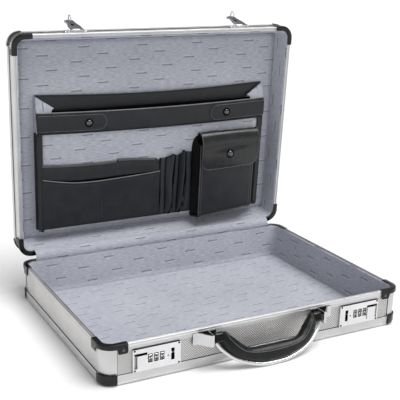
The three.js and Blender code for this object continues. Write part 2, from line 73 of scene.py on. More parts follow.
# ---- Sizes in mm: the first ones are read from the frame, the others repeat the design's ----
HALF_LENGTH, HALF_DEPTH, EDGE_BAND = box_mm("base_edge_profile")[1]
RIM_LOW, RIM_TOP = (corner.z for corner in box_mm("base_rim_profile"))
BASE_HEIGHT = box_mm("base_rim_cap_front_left")[1].z
CORNER_RADIUS = 18
RIM_WIDTH = 5.6  # of both rims' upper faces
LID_HEIGHT = 33
LID_EDGE_BAND = 9
LINING_FLOOR = 5  # above the outer face
CAP_OUT = 1.6  # how far the corner caps stand out
CORNERS = (("front_left", -1, -1), ("front_right", 1, -1), ("back_left", -1, 1), ("back_right", 1, 1))
HINGE = Vector(joint("lid_hinge")["pos_m"]) / MM
OPEN_ANGLE = math.radians(joint("lid_hinge")["range_deg"][1])
RIM_GAP = 0.5

# From the lid's shell frame (x right, y up the open lid, z out from its outer face) to the row frame.
LID = (
    Matrix.Translation(HINGE)
    @ Matrix.Rotation(math.pi - OPEN_ANGLE, 4, "X")
    @ Matrix.Translation((0, HINGE.y, HINGE.z - BASE_HEIGHT - RIM_GAP - LID_HEIGHT))
)
# From the shut case's frame to the row frame.
SHUT = (
    Matrix.Translation(HINGE) @ Matrix.Rotation(-OPEN_ANGLE, 4, "X") @ Matrix.Translation(-HINGE)
)
BASE = Matrix.Identity(4)
PLACES = {"base": BASE, "lid": LID}


# ---- Materials ----
class Nodes:
    """Short calls for the nodes of a tree."""

    def __init__(self, tree):
        self.tree = tree

    def put(self, socket, value):
        if isinstance(value, bpy.types.NodeSocket):
            self.tree.links.new(value, socket)
        else:
            socket.default_value = value

    def node(self, kind, inputs=(), **settings):
        made = self.tree.nodes.new(kind)
        for name, value in settings.items():
            setattr(made, name, value)
        for key, value in dict(inputs).items():
            self.put(made.inputs[key], value)
        return made

    def math(self, operation, a, b=0.0, c=0.0, **settings):
        made = self.node("ShaderNodeMath", {0: a, 1: b, 2: c}, operation=operation, **settings)
        return made.outputs[0]


class Look(Nodes):
    """A node material. Its Principled sockets are set by name, with _ for a space."""

    def __init__(self, name, color, roughness, metallic=0.0):
        self.material = bpy.data.materials.new(name)
        self.material.use_nodes = True
        super().__init__(self.material.node_tree)
        self.shader = self.tree.nodes["Principled BSDF"]
        self.set(Base_Color=(*color, 1), Roughness=roughness, Metallic=metallic)

    def set(self, **values):
        for name, value in values.items():
            self.put(self.shader.inputs[name.replace("_", " ")], value)

    def times(self, a, b):
        return self.math("MULTIPLY", a, b)

    def about(self, value, spread, middle):
        """The middle, moved by a noise's distance from a half times the spread."""
        return self.math("MULTIPLY_ADD", self.math("SUBTRACT", value, 0.5), spread, middle)

    def place(self, kind="Object", scale=(1, 1, 1)):
        where = self.node("ShaderNodeTexCoord").outputs[kind]
        return self.node("ShaderNodeVectorMath", {0: where, 1: scale}, operation="MULTIPLY").outputs[0]

    def noise(self, where, scale, detail=3.0, rough=0.5):
        values = {"Vector": where, "Scale": scale, "Detail": detail, "Roughness": rough}
        return self.node("ShaderNodeTexNoise", values).outputs["Fac"]

    def ranged(self, value, low, high, to_low=0.0, to_high=1.0):
        values = {"Value": value, "From Min": low, "From Max": high, "To Min": to_low, "To Max": to_high}
        return self.node("ShaderNodeMapRange", values).outputs["Result"]

    def mixed(self, factor, first, second, blend="MIX"):
        node = self.node("ShaderNodeMix", data_type="RGBA", blend_type=blend)
        self.put(node.inputs["Factor"], factor)
        for socket, value in ((node.inputs[6], first), (node.inputs[7], second)):
            self.put(socket, (*value, 1) if isinstance(value, tuple) and len(value) == 3 else value)
        return node.outputs[2]

    def bump(self, height, strength, distance=0.0005):
        values = {"Height": height, "Strength": strength, "Distance": distance}
        made = self.node("ShaderNodeBump", values)
        if self.shader.inputs["Normal"].is_linked:
            self.put(made.inputs["Normal"], self.shader.inputs["Normal"].links[0].from_socket)
        self.put(self.shader.inputs["Normal"], made.outputs["Normal"])


def metal(name, color, roughness, grain=(1, 1, 1), wear=0.06, scratch=0.05):
    """Metal with drawn-out grain in its roughness, soft stains and a few fine scratches."""
    look = Look(name, color, roughness, 1.0)
    lines = look.noise(look.place("Object", grain), 900, 4, 0.6)
    stains = look.noise(look.place(), 28, 5)
    look.set(Roughness=look.about(lines, wear * 3, look.about(stains, wear * 2, roughness)))
    darker = tuple(c * 0.86 for c in color)
    look.set(Base_Color=look.mixed(look.ranged(stains, 0.3, 0.7), darker, color))
    look.bump(lines, scratch, 0.00005)
    return look


def embossed(name, plane, strength):
    """Sheet aluminium rolled with a lattice of small diamonds, in the plane of two axes."""
    look = metal(name, (0.66, 0.652, 0.64), 0.36, wear=0.05)
    axes = look.node("ShaderNodeSeparateXYZ", {0: look.place()}).outputs
    a, b = (axes["XYZ".index(axis)] for axis in plane)
    pitch = 0.0033
    phases = (look.times(look.math(way, a, b), math.pi / pitch) for way in ("ADD", "SUBTRACT"))
    first, second = (look.math("SINE", phase) for phase in phases)
    height = look.math("POWER", look.math("ABSOLUTE", look.times(first, second)), 0.8)
    stained = look.shader.inputs["Base Color"].links[0].from_socket
    # Painted shade and highlight: the colour is darkened in the grooves between the diamonds and lightened
    # on their tops, by the strength.
    groove = look.ranged(height, 0.08, 0.85, 0.12, 1.4)
    shade = look.node("ShaderNodeCombineColor", {"Red": groove, "Green": groove, "Blue": groove})
    look.set(Base_Color=look.mixed(strength, stained, shade.outputs[0], "MULTIPLY"))
    look.bump(height, strength, 0.00035)
    return look


def woven(name):
    """Grey lining cloth: a slubbed weave with short dashes in staggered rows, by UVs in metres."""
    look = Look(name, (0.43, 0.435, 0.50), 0.86)
    row_height, pitch, dash, thick, thread = 0.0106, 0.092, 0.0168, 0.0019, 0.0021
    u, v, _ = look.node("ShaderNodeSeparateXYZ", {0: look.place("UV")}).outputs
    # Where a spot is in its row and in the row's pattern. Four rows of dashes, each shifted, repeat.
    rows = look.math("DIVIDE", v, row_height)
    row = look.math("FLOOR", rows)
    odd = look.math("FLOORED_MODULO", row, 2.0)
    late = look.math("FLOOR", look.math("DIVIDE", look.math("FLOORED_MODULO", row, 4.0), 2.0))
    step = look.math("MULTIPLY_ADD", odd, -0.27, 0.14)
    offset = look.math("MULTIPLY_ADD", late, step, look.times(odd, 0.68))
    along = look.math("FRACT", look.math("SUBTRACT", look.math("DIVIDE", u, pitch), offset))
    up = look.math("FRACT", rows)

    def within(length, height):
        short = look.math("LESS_THAN", along, length / pitch)
        return look.times(short, look.math("LESS_THAN", up, height / row_height))

    # The dashes, broken by the threads across them, with a painted highlight, a pale band, under each.
    ticks = look.math("SINE", look.times(u, 2 * math.pi / thread))
    broken = look.ranged(ticks, -1.0, 0.4, 0.55, 1.0)
    frayed = look.ranged(look.noise(look.place("UV", (1, 3, 1)), 1400, 2), 0.3, 0.6, 0.5, 1.0)
    mark = look.times(look.times(within(dash, thick), broken), frayed)
    glint = within(dash * 0.8, thick * 1.9)
    # The weave.
    slub = look.noise(look.place("UV", (110, 800, 1)), 1.0, 4, 0.68)
    cross = look.noise(look.place("UV", (1400, 90, 1)), 1.0, 2)
    cloud = look.noise(look.place("UV", (9, 9, 1)), 1.0, 3)
    tone = look.math("ADD", look.times(slub, 0.8), look.times(cloud, 0.2))
    cloth = look.mixed(look.ranged(tone, 0.34, 0.66), (0.30, 0.31, 0.37), (0.56, 0.57, 0.625))
    cloth = look.mixed(look.times(glint, 0.4), cloth, (0.66, 0.66, 0.70))
    cloth = look.mixed(mark, cloth, (0.075, 0.075, 0.11))
    look.set(Base_Color=cloth, Sheen_Weight=0.25, Sheen_Roughness=0.5, Specular_IOR_Level=0.25)
    look.bump(look.math("ADD", slub, cross), 0.35, 0.00025)
    return look


def leatherette(name, color, roughness, grain=0.5, shine=0.34):
    """Black coated cloth with a fine pebbled grain and soft creases."""
    look = Look(name, color, roughness)
    cells = {"Vector": look.place(), "Scale": 1150.0}
    pebbles = look.node("ShaderNodeTexVoronoi", cells, feature="SMOOTH_F1").outputs["Distance"]
    creases = look.noise(look.place(), 55, 4, 0.6)
    lighter = tuple(c * 1.5 + 0.004 for c in color)
    look.set(Base_Color=look.mixed(look.ranged(creases, 0.3, 0.75), color, lighter))
    look.set(Roughness=look.ranged(creases, 0.25, 0.75, roughness - 0.07, roughness + 0.1))
    look.set(Specular_IOR_Level=shine)
    look.bump(creases, 0.3, 0.0012)
    look.bump(pebbles, grain, 0.00025)
    return look


def moulded(name, color, roughness, shine=0.5):
    """Black plastic with a fine moulded texture and rubbed, slightly shinier spots."""
    look = Look(name, color, roughness)
    texture = look.noise(look.place(), 1600, 2)
    rubbed = look.noise(look.place(), 90, 4)
    paler = tuple(c * 1.6 + 0.003 for c in color)
    look.set(Base_Color=look.mixed(look.ranged(rubbed, 0.45, 0.75), color, paler))
    look.set(Roughness=look.ranged(rubbed, 0.3, 0.7, roughness - 0.08, roughness + 0.08))
    look.set(Specular_IOR_Level=shine)
    look.bump(texture, 0.25, 0.0002)
    return look


ALUMINIUM = metal("satin_aluminium", (0.64, 0.64, 0.645), 0.42, (0.04, 0.04, 1))
POST_METAL = metal("post_aluminium", (0.64, 0.64, 0.635), 0.34, (1, 1, 0.04))
FRONT_SHEET = embossed("embossed_front", "XZ", 0.75)
SIDE_SHEET = embossed("embossed_side", "YZ", 0.12)
FLAT_SHEET = embossed("embossed_flat", "XY", 0.75)
LID_SHEET = embossed("embossed_lid", "XZ", 0.75)
LID_WALL = embossed("embossed_lid_wall", "XY", 0.6)
LOCK_METAL = metal("lock_chrome", (0.80, 0.80, 0.81), 0.24, (0.05, 1, 1))
CHROME = metal("bright_chrome", (0.66, 0.66, 0.68), 0.10, wear=0.03, scratch=0.02)
# A darker copy of the bright chrome, for the hasps' leaves: painted shade.
SHADED_HASP_METAL = metal("shaded_hasp_chrome", (0.36, 0.36, 0.37), 0.10, wear=0.03, scratch=0.02)
DIAL_METAL = metal("dial_chrome", (0.52, 0.51, 0.50), 0.2, wear=0.04)
STEEL = metal("hinge_steel", (0.66, 0.66, 0.68), 0.28, (0.05, 1, 1), 0.08)
GUNMETAL = metal("screw_metal", (0.10, 0.10, 0.105), 0.2, wear=0.04)
SNAP_METAL = metal("snap_metal", (0.13, 0.13, 0.135), 0.12, wear=0.04)
CLOTH = woven("lining_cloth")
LEATHER = leatherette("black_leatherette", (0.011, 0.0118, 0.0145), 0.42)
GRIP_LEATHER = leatherette("grip_leatherette", (0.004, 0.0046, 0.005), 0.27, 0.2, 0.28)
FLAP_LEATHER = leatherette("flap_leatherette", (0.0075, 0.0082, 0.009), 0.27, shine=0.5)
PEN_LEATHER = leatherette("soft_leatherette", (0.018, 0.021, 0.025), 0.5)
POUCH_LEATHER = leatherette("pouch_leatherette", (0.014, 0.0148, 0.0175), 0.40)
WELT_LEATHER = leatherette("welt_leatherette", (0.075, 0.08, 0.083), 0.42)
# A darker, duller copy of the black leatherette for the pouch's gussets and back: painted shade.
SHADED_LEATHER = leatherette("shaded_gusset_leatherette", (0.003, 0.003, 0.0035), 0.7, shine=0.12)
# Paler leatherette for turned edges, hems, piping and the grip's ridge: partly its own colour, partly a
# painted highlight along the edges.
EDGE_AND_HIGHLIGHT_LEATHER = leatherette("turned_edge_and_highlight", (0.07, 0.07, 0.075), 0.38, 0.2)
# Paler than the piping, so that the foot binding reads light grey in the shade it lies in: painted light.
FOOT_LEATHER_LIT = leatherette("foot_binding", (0.30, 0.30, 0.31), 0.4, 0.2)
PIPING = leatherette("piping", (0.17, 0.17, 0.175), 0.4, 0.2)
THREAD = leatherette("thread", (0.035, 0.035, 0.038), 0.7, 0.2)
PLASTIC = moulded("black_plastic", (0.0035, 0.0035, 0.0033), 0.2, 0.36)
# Near-black, used mostly as painted shade: in the pockets' mouths, the pen loops' hollows, the gaps round
# panels, locks and hasps, and inside the brackets; also for the snap seats, the reset buttons and the lock
# cases.
DARK = moulded("black_and_painted_shade", (0.002, 0.002, 0.002), 0.8, 0.05)
PAINT = moulded("black_paint", (0.012, 0.012, 0.012), 0.5)


# ---- Meshes ----
def piece(name, verts, faces, look, body, slot, uvs=None, place=BASE, replaces=(), sharp=32, bevel=0.0,
          thick=0.0, side=-1, smooth=0):
    """A mesh from points in mm, placed in the row frame, that rides on a body unless body is None.

    A sheet gets a thickness, behind its face if side is -1. Edges of more than sharp degrees are hard.
    """
    mesh = bpy.data.meshes.new(name)
    mesh.from_pydata([(place @ Vector(v)) * MM for v in verts], [], faces)
    if uvs:
        layer = mesh.uv_layers.new(name="UVMap")
        flat = [uv for face in uvs for uv in face]
        for loop, (u, v) in zip(layer.data, flat):
            loop.uv = (u * MM, v * MM)
    tidy = bmesh.new()
    tidy.from_mesh(mesh)
    bmesh.ops.remove_doubles(tidy, verts=tidy.verts, dist=1e-7)
    if all(edge.is_manifold for edge in tidy.edges):
        bmesh.ops.recalc_face_normals(tidy, faces=tidy.faces)
    tidy.to_mesh(mesh)
    tidy.free()
    mesh.polygons.foreach_set("use_smooth", [True] * len(mesh.polygons))
    mesh.set_sharp_from_angle(angle=math.radians(sharp))
    made = bpy.data.objects.new(name, mesh)
    bpy.context.scene.collection.objects.link(made)
    mesh.materials.append(look.material)
    if thick:
        solid = made.modifiers.new("thickness", "SOLIDIFY")
        solid.thickness, solid.offset = thick * MM, side
    if bevel:
        rounding = made.modifiers.new("rounding", "BEVEL")
        rounding.width, rounding.segments, rounding.angle_limit = bevel * MM, 2, math.radians(sharp)
    if smooth:
        softer = made.modifiers.new("smooth", "SUBSURF")
        softer.levels = softer.render_levels = smooth
    if body:
        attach(made, body)
    if replaces:
        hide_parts(*replaces)
    return made


def on_lid(name, net, look=LEATHER, thick=0.0, slot="black_leather", body="lid", **more):
    """A piece of the organiser, in the lid's shell frame."""
    return piece(name, **net, look=look, body=body, slot=slot, place=LID, thick=thick, **more)


def on_half(half, name, net, look, slot, **more):
    """A piece of the base's or the lid's shell, in that half's frame."""
    return piece(name, **net, look=look, body=half, slot=slot, place=PLACES[half], **more)


def clamped(value):
    """The value, held between 0 and 1."""
    return min(max(value, 0.0), 1.0)


def evenly(start, end, count):
    """The values from start to end in count equal steps."""
    return [start + (end - start) * k / count for k in range(count + 1)]


def turns(count):
    """Angles evenly round a full turn."""
    return [2 * math.pi * k / count for k in range(count)]


def lengths(points, closed=False):
    """The distance along a path at each of its points."""
    ends = [*points, points[0]] if closed else points
    total = [0.0]
    for a, b in zip(ends, ends[1:]):
        total.append(total[-1] + (Vector(b) - Vector(a)).length)
    return total


def grid(rows, around=False, closed=False, ends=False):
    """Vertices, faces and UVs in mm of a net of rows.

    around joins each row's ends, closed joins the last row to the first, and ends caps both of them.
    """
    count, wide = len(rows), len(rows[0])
    verts = [tuple(p) for row in rows for p in row]
    us = lengths([row[0] for row in rows], closed)
    vs = lengths(rows[0], around)
    faces, uvs = [], []
    for i in range(count if closed else count - 1):
        for j in range(wide if around else wide - 1):
            a, b = i * wide, (i + 1) % count * wide
            k = (j + 1) % wide
            faces.append((a + j, b + j, b + k, a + k))
            uvs.append(((us[i], vs[j]), (us[i + 1], vs[j]), (us[i + 1], vs[j + 1]), (us[i], vs[j + 1])))
    if ends:
        for row in (0, count - 1):
            faces.append(tuple(range(row * wide, (row + 1) * wide)))
            uvs.append(tuple((vs[j], 0.0) for j in range(wide)))
    return {"verts": verts, "faces": faces, "uvs": uvs}


def on_plane(net, a=0, b=1):
    """The net, with UVs taken from two of its coordinates."""
    net["uvs"] = [tuple((net["verts"][k][a], net["verts"][k][b]) for k in face) for face in net["faces"]]
    return net


def merged(*nets):
    verts, faces, uvs = [], [], []
    for net in nets:
        base = len(verts)
        verts += net["verts"]
        faces += [tuple(base + i for i in face) for face in net["faces"]]
        uvs += net["uvs"]
    return {"verts": verts, "faces": faces, "uvs": uvs}


def fillet(points, radius, steps, closed=True):
    """A 2-D outline with its corners rounded."""
    made = []
    count = len(points)
    for i, p in enumerate(points):
        if not closed and i in (0, count - 1):
            made.append(tuple(p))
            continue
        p, before, after = Vector(p), Vector(points[i - 1]), Vector(points[(i + 1) % count])
        r = radius[i] if isinstance(radius, (list, tuple)) else radius
        a, b = before - p, after - p
        r = min(r, a.length * 0.49, b.length * 0.49)
        if r <= 0:
            made.append(tuple(p))
            continue
        start, end = p + a.normalized() * r, p + b.normalized() * r
        for k in range(steps + 1):
            t = k / steps
            made.append(tuple(start * (1 - t) ** 2 + p * 2 * t * (1 - t) + end * t * t))
    return made


# ---- Shells: profiles swept along the case's rounded outline ----
def outline_all(steps, straight=6):
    """Samples right round the outline: the arc's middle and the outward normal."""
    made = []

    def side(centre):
        """The straight run from the last sample to the arc about centre."""
        previous, normal = made[-1]
        made.extend((previous.lerp(centre, i / straight), normal) for i in range(1, straight))

    for k in range(4):
        start = -math.pi / 2 + k * math.pi / 2
        middle = start + math.pi / 4
        centre = Vector((
            math.copysign(HALF_LENGTH - CORNER_RADIUS, math.cos(middle)),
            math.copysign(HALF_DEPTH - CORNER_RADIUS, math.sin(middle)),
        ))
        if made:
            side(centre)
        for angle in evenly(start, start + math.pi / 2, steps):
            made.append((centre, Vector((math.cos(angle), math.sin(angle)))))
    side(made[0][0])
    return made


def outline_corner(sx, sy, reach, steps, straight):
    """Samples round one corner, from the wall that faces y to the one that faces x.

    Each has the arc's middle, the outward normal and the distance from the arc's start.
    """
    centre = Vector((sx * (HALF_LENGTH - CORNER_RADIUS), sy * (HALF_DEPTH - CORNER_RADIUS)))
    run, arc = reach - CORNER_RADIUS, CORNER_RADIUS * math.pi / 2
    spots = evenly(-run, 0, straight)[:-1] + evenly(0, arc, steps) + evenly(arc, arc + run, straight)[1:]
    made = []
    for s in spots:
        angle = clamped(s / arc) * math.pi / 2
        along = Vector((sx * min(s, 0), -sy * max(s - arc, 0)))
        made.append((centre + along, Vector((sx * math.sin(angle), sy * math.cos(angle))), s))
    return made


def swept(samples, profile, closed=False, around=True, ends=True):
    """A net of the profile's (inset, height) points along the samples."""
    rows = []
    for sample in samples:
        centre, normal = sample[:2]
        points = profile(sample) if callable(profile) else profile
        rows.append([(*(centre + normal * (CORNER_RADIUS - inset)), z) for inset, z in points])
    return grid(rows, around, closed, ends and not closed)


def rim_profile(top, band, tongue):
    """Rim extrusion: outer band, rounded rim with a raised tongue or a groove, and inner leg."""
    low = top - band
    ridge = 0.8 if tongue else -1.1
    outer = [
        (0, low), (0, top - 3.6), (0.25, top - 3.4), (0.25, top - 3.1), (0, top - 2.9), (0, top),
        (1.9, top), (2.1, top + ridge), (3.5, top + ridge), (3.7, top),
        (RIM_WIDTH, top), (RIM_WIDTH, top - 6), (4.6, top - 6), (4.6, top - 2.2), (1, top - 2.2), (1, low),
    ]
    radius = [0.2, 0, 0, 0, 0, 1.1, 0.1, 0.3, 0.3, 0.1, 1.0, 0.3, 0.1, 0, 0, 0]
    return fillet(outer, radius, 3)


def edge_profile(band):
    """Extrusion round the outer face: a band with a rounded corner and a shallow groove."""
    flange, thickness = 8, 1.2
    points = [
        (0, band), (0, 4.2), (0.3, 4.0), (0.3, 3.6), (0, 3.4), (0, 0), (flange, 0), (flange, thickness),
        (1.6, thickness), (1, 2.2), (1, band),
    ]
    return fillet(points, [0.35, 0, 0, 0, 0, 2.6, 0.3, 0.2, 0, 0, 0.1], 5)


def shell_ring(half, part, profile):
    """The rim's or the edge's extrusion, right round a half."""
    net = swept(outline_all(12), profile, True)
    name = f"{half}_{part}"
    on_half(half, name, net, ALUMINIUM, "profile_aluminium", replaces=[name + "_profile"])


def outer_panel(name, node, look, half):
    """Embossed sheet inside the edge profile's flange."""
    samples = outline_all(8, 1)
    rim_inset, face_inset, back, face = 8.1, 8.6, 2.6, 0.05
    section = fillet([(rim_inset, back), (rim_inset, face), (face_inset, face)], [0, 0.3, 0], 2, False)
    nets = [swept(samples, section, True, False, False)]
    for inset, z in ((face_inset, face), (rim_inset, back)):
        verts = [(*(c + n * (CORNER_RADIUS - inset)), z) for c, n in samples]
        nets.append(on_plane({"verts": verts, "faces": [tuple(range(len(verts)))]}))
    on_half(half, name, merged(*nets), look, "patterned_aluminium", replaces=[node])


def post(half, name, sx, sy, low, high, replaces=()):
    """Smooth corner post between the profiles, slightly proud of the wall panels."""
    samples = outline_corner(sx, sy, CORNER_RADIUS + 1.2, 14, 2)
    profile = fillet([(0.75, low), (0.75, high), (2.6, high), (2.6, low)], 0.3, 2)
    on_half(half, name, swept(samples, profile), POST_METAL, "profile_aluminium", replaces=replaces)


def rim_cap(half, name, sx, sy, height, node, reach):
    """Moulded cap over the rim: a band round the corner, a deeper tab on each wall, a flange inside."""
    arc = CORNER_RADIUS * math.pi / 2
    band, tab, round_to, out, inside = 6.8, 13.6, 2.4, -CAP_OUT, RIM_WIDTH + 0.35

    def depth(s):
        beyond = max(-s, s - arc, 0.0)
        turned = clamped((beyond - 0.6) / 2.2)
        deep = band + (tab - band) * turned * turned * (3 - 2 * turned)
        near = max(round_to - (reach - CORNER_RADIUS - beyond), 0.0)
        return deep - (round_to - math.sqrt(max(round_to**2 - near**2, 0.0)))

    def profile(sample):
        low = height - depth(sample[2])
        return [(-0.3, low), (out + 0.5, low), (out, low + 0.6), (out, height - 1.6),
                (out + 0.55, height - 0.35), (out + 1.5, height), (RIM_WIDTH - 0.5, height),
                (inside, height - 0.6), (inside, height - 1.6), (-0.3, height - 1.3)]

    net = swept(outline_corner(sx, sy, reach, 14, 16), profile)
    on_half(half, name, net, PLASTIC, "black_plastic", replaces=[node], bevel=0.25)
    rivets, back = [], 6.2 - reach
    for x, y, outward in ((HALF_LENGTH + back, HALF_DEPTH, Vector((0, sy, 0))),
                          (HALF_LENGTH, HALF_DEPTH + back, Vector((sx, 0, 0)))):
        centre = Vector((sx * x, sy * y, height - 8.4))
        rivets.append(dome(centre + outward * (CAP_OUT - 0.1), outward, radius=2.1, height=0.8))
    on_half(half, name + "_rivets", merged(*rivets), SNAP_METAL, "black_plastic")


def edge_cap(half, name, sx, sy, band, node):
    """Moulded cup over a corner of the outer face."""
    high, out = band + 1.6, -CAP_OUT
    profile = [(-0.3, high), (out + 0.4, high), (out, high - 0.6), (out, 4.2), (out + 0.5, 2.2),
               (-0.1, 0.75), (1.7, 0.15), (4.2, 0.0), (4.2, 0.6), (1.2, 1.2), (-0.3, 3.0)]
    net = swept(outline_corner(sx, sy, CORNER_RADIUS + 0.4, 16, 2), profile)
    on_half(half, name, net, PLASTIC, "black_plastic", replaces=[node])


def dome(centre, axis, radius, height, sides=16):
    """A low dome, such as a rivet's head."""
    turn = axis.normalized().to_track_quat("Z", "Y")
    rows = []
    for t in evenly(0, math.pi / 2, 5):
        r = max(radius * math.cos(t), 0.02 * radius)
        rows.append([centre + turn @ Vector((r * math.cos(a), r * math.sin(a), height * math.sin(t)))
                     for a in turns(sides)])
    return grid(rows, around=True, ends=True)


def ring(centre, axis, radius, tube_radius, sides, around):
    """A small torus."""
    turn = axis.normalized().to_track_quat("Z", "Y")
    rows = []
    for a in turns(sides):
        out = Vector((math.cos(a), math.sin(a), 0))
        spots = ((radius + tube_radius * math.cos(b), tube_radius * math.sin(b)) for b in turns(around))
        rows.append([centre + turn @ (out * far + Vector((0, 0, high))) for far, high in spots])
    return grid(rows, around=True, closed=True)


def tube(path, radius, sides, closed=False):
    """A round tube along a path."""
    points = [Vector(p) for p in path]
    rows, normal = [], None
    count = len(points)
    for i, p in enumerate(points):
        before = points[i - 1] if i or closed else p
        after = points[(i + 1) % count] if i < count - 1 or closed else p
        along = (after - before).normalized()
        if normal is None:
            normal = along.orthogonal().normalized()
        normal = (normal - along * normal.dot(along)).normalized()
        cross = along.cross(normal)
        r = radius(i / max(count - 1, 1)) if callable(radius) else radius
        rows.append([p + (normal * math.cos(a) + cross * math.sin(a)) * r for a in turns(sides)])
    return grid(rows, around=True, closed=closed, ends=not closed)


def lining(half, height, hinge_side):
    """Cloth over board: sloped, slightly crowned walls tucked under the rim, and a floor.

    hinge_side is the sign of y at the hinge. The base's wall behind the locks is steeper.
    """
    top, foot_inset, rim_inset = height - 2.2, 12.8, 7.0

    def inset(normal):
        return foot_inset + 4.0 * max(hinge_side * normal.y, 0.0) ** 2

    def profile(sample):
        foot = inset(sample[1])
        over_locks = max(-hinge_side * sample[1].y, 0.0) ** 2 if half == "base" else 0.0
        points = [(RIM_WIDTH + 0.15, top)]
        for step in evenly(0, 1, 12):
            t = step**1.5
            swell = 0.55 * math.sin(math.pi * t) * (1 - over_locks)
            slope = 1 - (1 - t) ** (1 + 9 * over_locks)
            out = rim_inset + (foot - 0.6 - rim_inset) * slope + swell
            points.append((out, top - 0.5 - (top - 1 - LINING_FLOOR) * t))
        return points + [(foot, LINING_FLOOR + 0.12)]

    wall = swept(outline_all(8, 24), profile, True, False, False)
    on_half(half, half + "_lining_walls", wall, CLOTH, "lining_fabric", thick=0.8, sharp=60,
            replaces=[half + "_lining"])
    y_low = -HALF_DEPTH + inset(Vector((0, -1))) - 0.4
    y_high = HALF_DEPTH - inset(Vector((0, 1))) + 0.4
    x_half = HALF_LENGTH - foot_inset + 0.4
    rows = []
    for x in evenly(-x_half, x_half, 44):
        row = []
        for y in evenly(y_low, y_high, 32):
            edge = min(x_half - abs(x), y - y_low, y_high - y)
            dip = 0.45 * math.exp(-edge / 2.5)
            wave = 0.10 * math.sin(x / 31) * math.sin(y / 23 + 1)
            row.append((x, y, LINING_FLOOR + 0.3 + wave * min(edge / 20, 1) - dip))
        rows.append(row)
    floor = on_plane(grid(rows))
    on_half(half, half + "_lining_floor", floor, CLOTH, "lining_fabric", thick=1.2, sharp=60)


def seams(half, low, high, face):
    """Near-black beads round the wall panels, where they meet the profiles and the posts: painted shade of
    the gaps.
    """
    nets = []
    for along, across, spin in ((HALF_LENGTH, HALF_DEPTH, 0), (HALF_DEPTH, HALF_LENGTH, 90)):
        reach, out = along - CORNER_RADIUS - 1.5, across - face
        corners = [(-reach, low), (reach, low), (reach, high), (-reach, high)]
        sides = [(corners[i], corners[j]) for i, j in ((0, 1), (3, 2), (0, 3), (1, 2))]
        for turned in (spin, spin + 180):
            turn = Matrix.Rotation(math.radians(turned), 4, "Z")
            nets += [tube([turn @ Vector((x, -out, z)) for x, z in side], 0.45, 6) for side in sides]
    on_half(half, half + "_panel_gap_shade", merged(*nets), DARK, "patterned_aluminium")


def wall_board(start, end, inward):
    """A flat wall of the lid between two points of its outline, with its depth inward."""
    low, high = 1.5, LID_HEIGHT - 2.4
    outer = [Vector((*spot, z)) for spot, z in ((start, low), (end, low), (end, high), (start, high))]
    return grid([outer, [p + inward for p in outer]], around=True, ends=True)


WALL_INSET = 1.3  # of the lid's walls, from its outline


def lid_walls():
    depth = 3.0
    x, y = HALF_LENGTH - WALL_INSET, HALF_DEPTH - WALL_INSET
    long, short = HALF_LENGTH - CORNER_RADIUS - 0.2, HALF_DEPTH - CORNER_RADIUS - 0.2
    ends = [wall_board((-long, s * y), (long, s * y), Vector((0, -s * depth, 0))) for s in (1, -1)]
    sides = [wall_board((s * x, -short), (s * x, short), Vector((-s * depth, 0, 0))) for s in (1, -1)]
    on_lid("lid_long_walls", merged(*ends), LID_WALL, slot="patterned_aluminium", replaces=["lid_wall"])
    on_lid("lid_side_walls", merged(*sides), SIDE_SHEET, slot="patterned_aluminium")


def shells():
    for half, height in (("base", BASE_HEIGHT), ("lid", LID_HEIGHT)):
        rim = rim_profile(height - BASE_HEIGHT + RIM_TOP, RIM_TOP - RIM_LOW, half == "base")
        shell_ring(half, "rim", rim)
    for half, band in (("base", EDGE_BAND), ("lid", LID_EDGE_BAND)):
        shell_ring(half, "edge", edge_profile(band))
    outer_panel("base_underside", "base_bottom_panel", FLAT_SHEET, "base")
    outer_panel("lid_outer_face", "lid_panel", LID_SHEET, "lid")
    # The lid's y runs from its hinge to the case's front, so sy changes its sign there.
    for corner, sx, sy in CORNERS:
        node = "base_corner_post_" + corner
        post("base", "base_post_" + corner, sx, sy, EDGE_BAND - 1, RIM_LOW + 1, [node])
        rim_cap("base", "base_cap_" + corner, sx, sy, BASE_HEIGHT, "base_rim_cap_" + corner, 33.0)
        edge_cap("base", "base_foot_" + corner, sx, sy, EDGE_BAND, "base_foot_cap_" + corner)
        post("lid", "lid_post_" + corner, sx, -sy, LID_EDGE_BAND - 1, LID_HEIGHT - 9.6)
        rim_cap("lid", "lid_cap_" + corner, sx, -sy, LID_HEIGHT, "lid_rim_cap_" + corner, 28.0)
        edge_cap("lid", f"lid_edge_cap_{corner}_shell", sx, -sy, LID_EDGE_BAND, "lid_edge_cap_" + corner)
    lining("base", BASE_HEIGHT, 1)
    lining("lid", LID_HEIGHT, -1)
    seams("base", EDGE_BAND + 0.2, RIM_LOW - 0.2, HALF_DEPTH + box_mm("base_front_panel")[0].y)
    seams("lid", LID_EDGE_BAND + 0.2, LID_HEIGHT - 11.0, WALL_INSET)
    lid_walls()


# ---- The organiser in the lid ----
POCKET_HALF, POCKET_LOW, POCKET_FRONT = 190.0, -132.0, 19.3


def spread(start, end, r0, r1, count, steps=6):
    """Stations from start to end, closer together where a corner of radius r0 or r1 turns."""
    turned = [1 - math.cos(math.pi / 2 * k / steps) for k in range(steps)]
    first = [start + r0 * t for t in turned] if r0 else []
    last = [end - r1 * t for t in reversed(turned)] if r1 else []
    return first + evenly(start + r0, end - r1, count) + last


def eaten(x, start, end, r0, r1):
    """How far the rounding of the corners eats into an edge at x."""
    near = max(start + r0 - x, x - (end - r1), 0.0)
    r = r0 if x < (start + end) / 2 else r1
    return r - math.sqrt(max(r * r - near * near, 0.0)) if r else 0.0


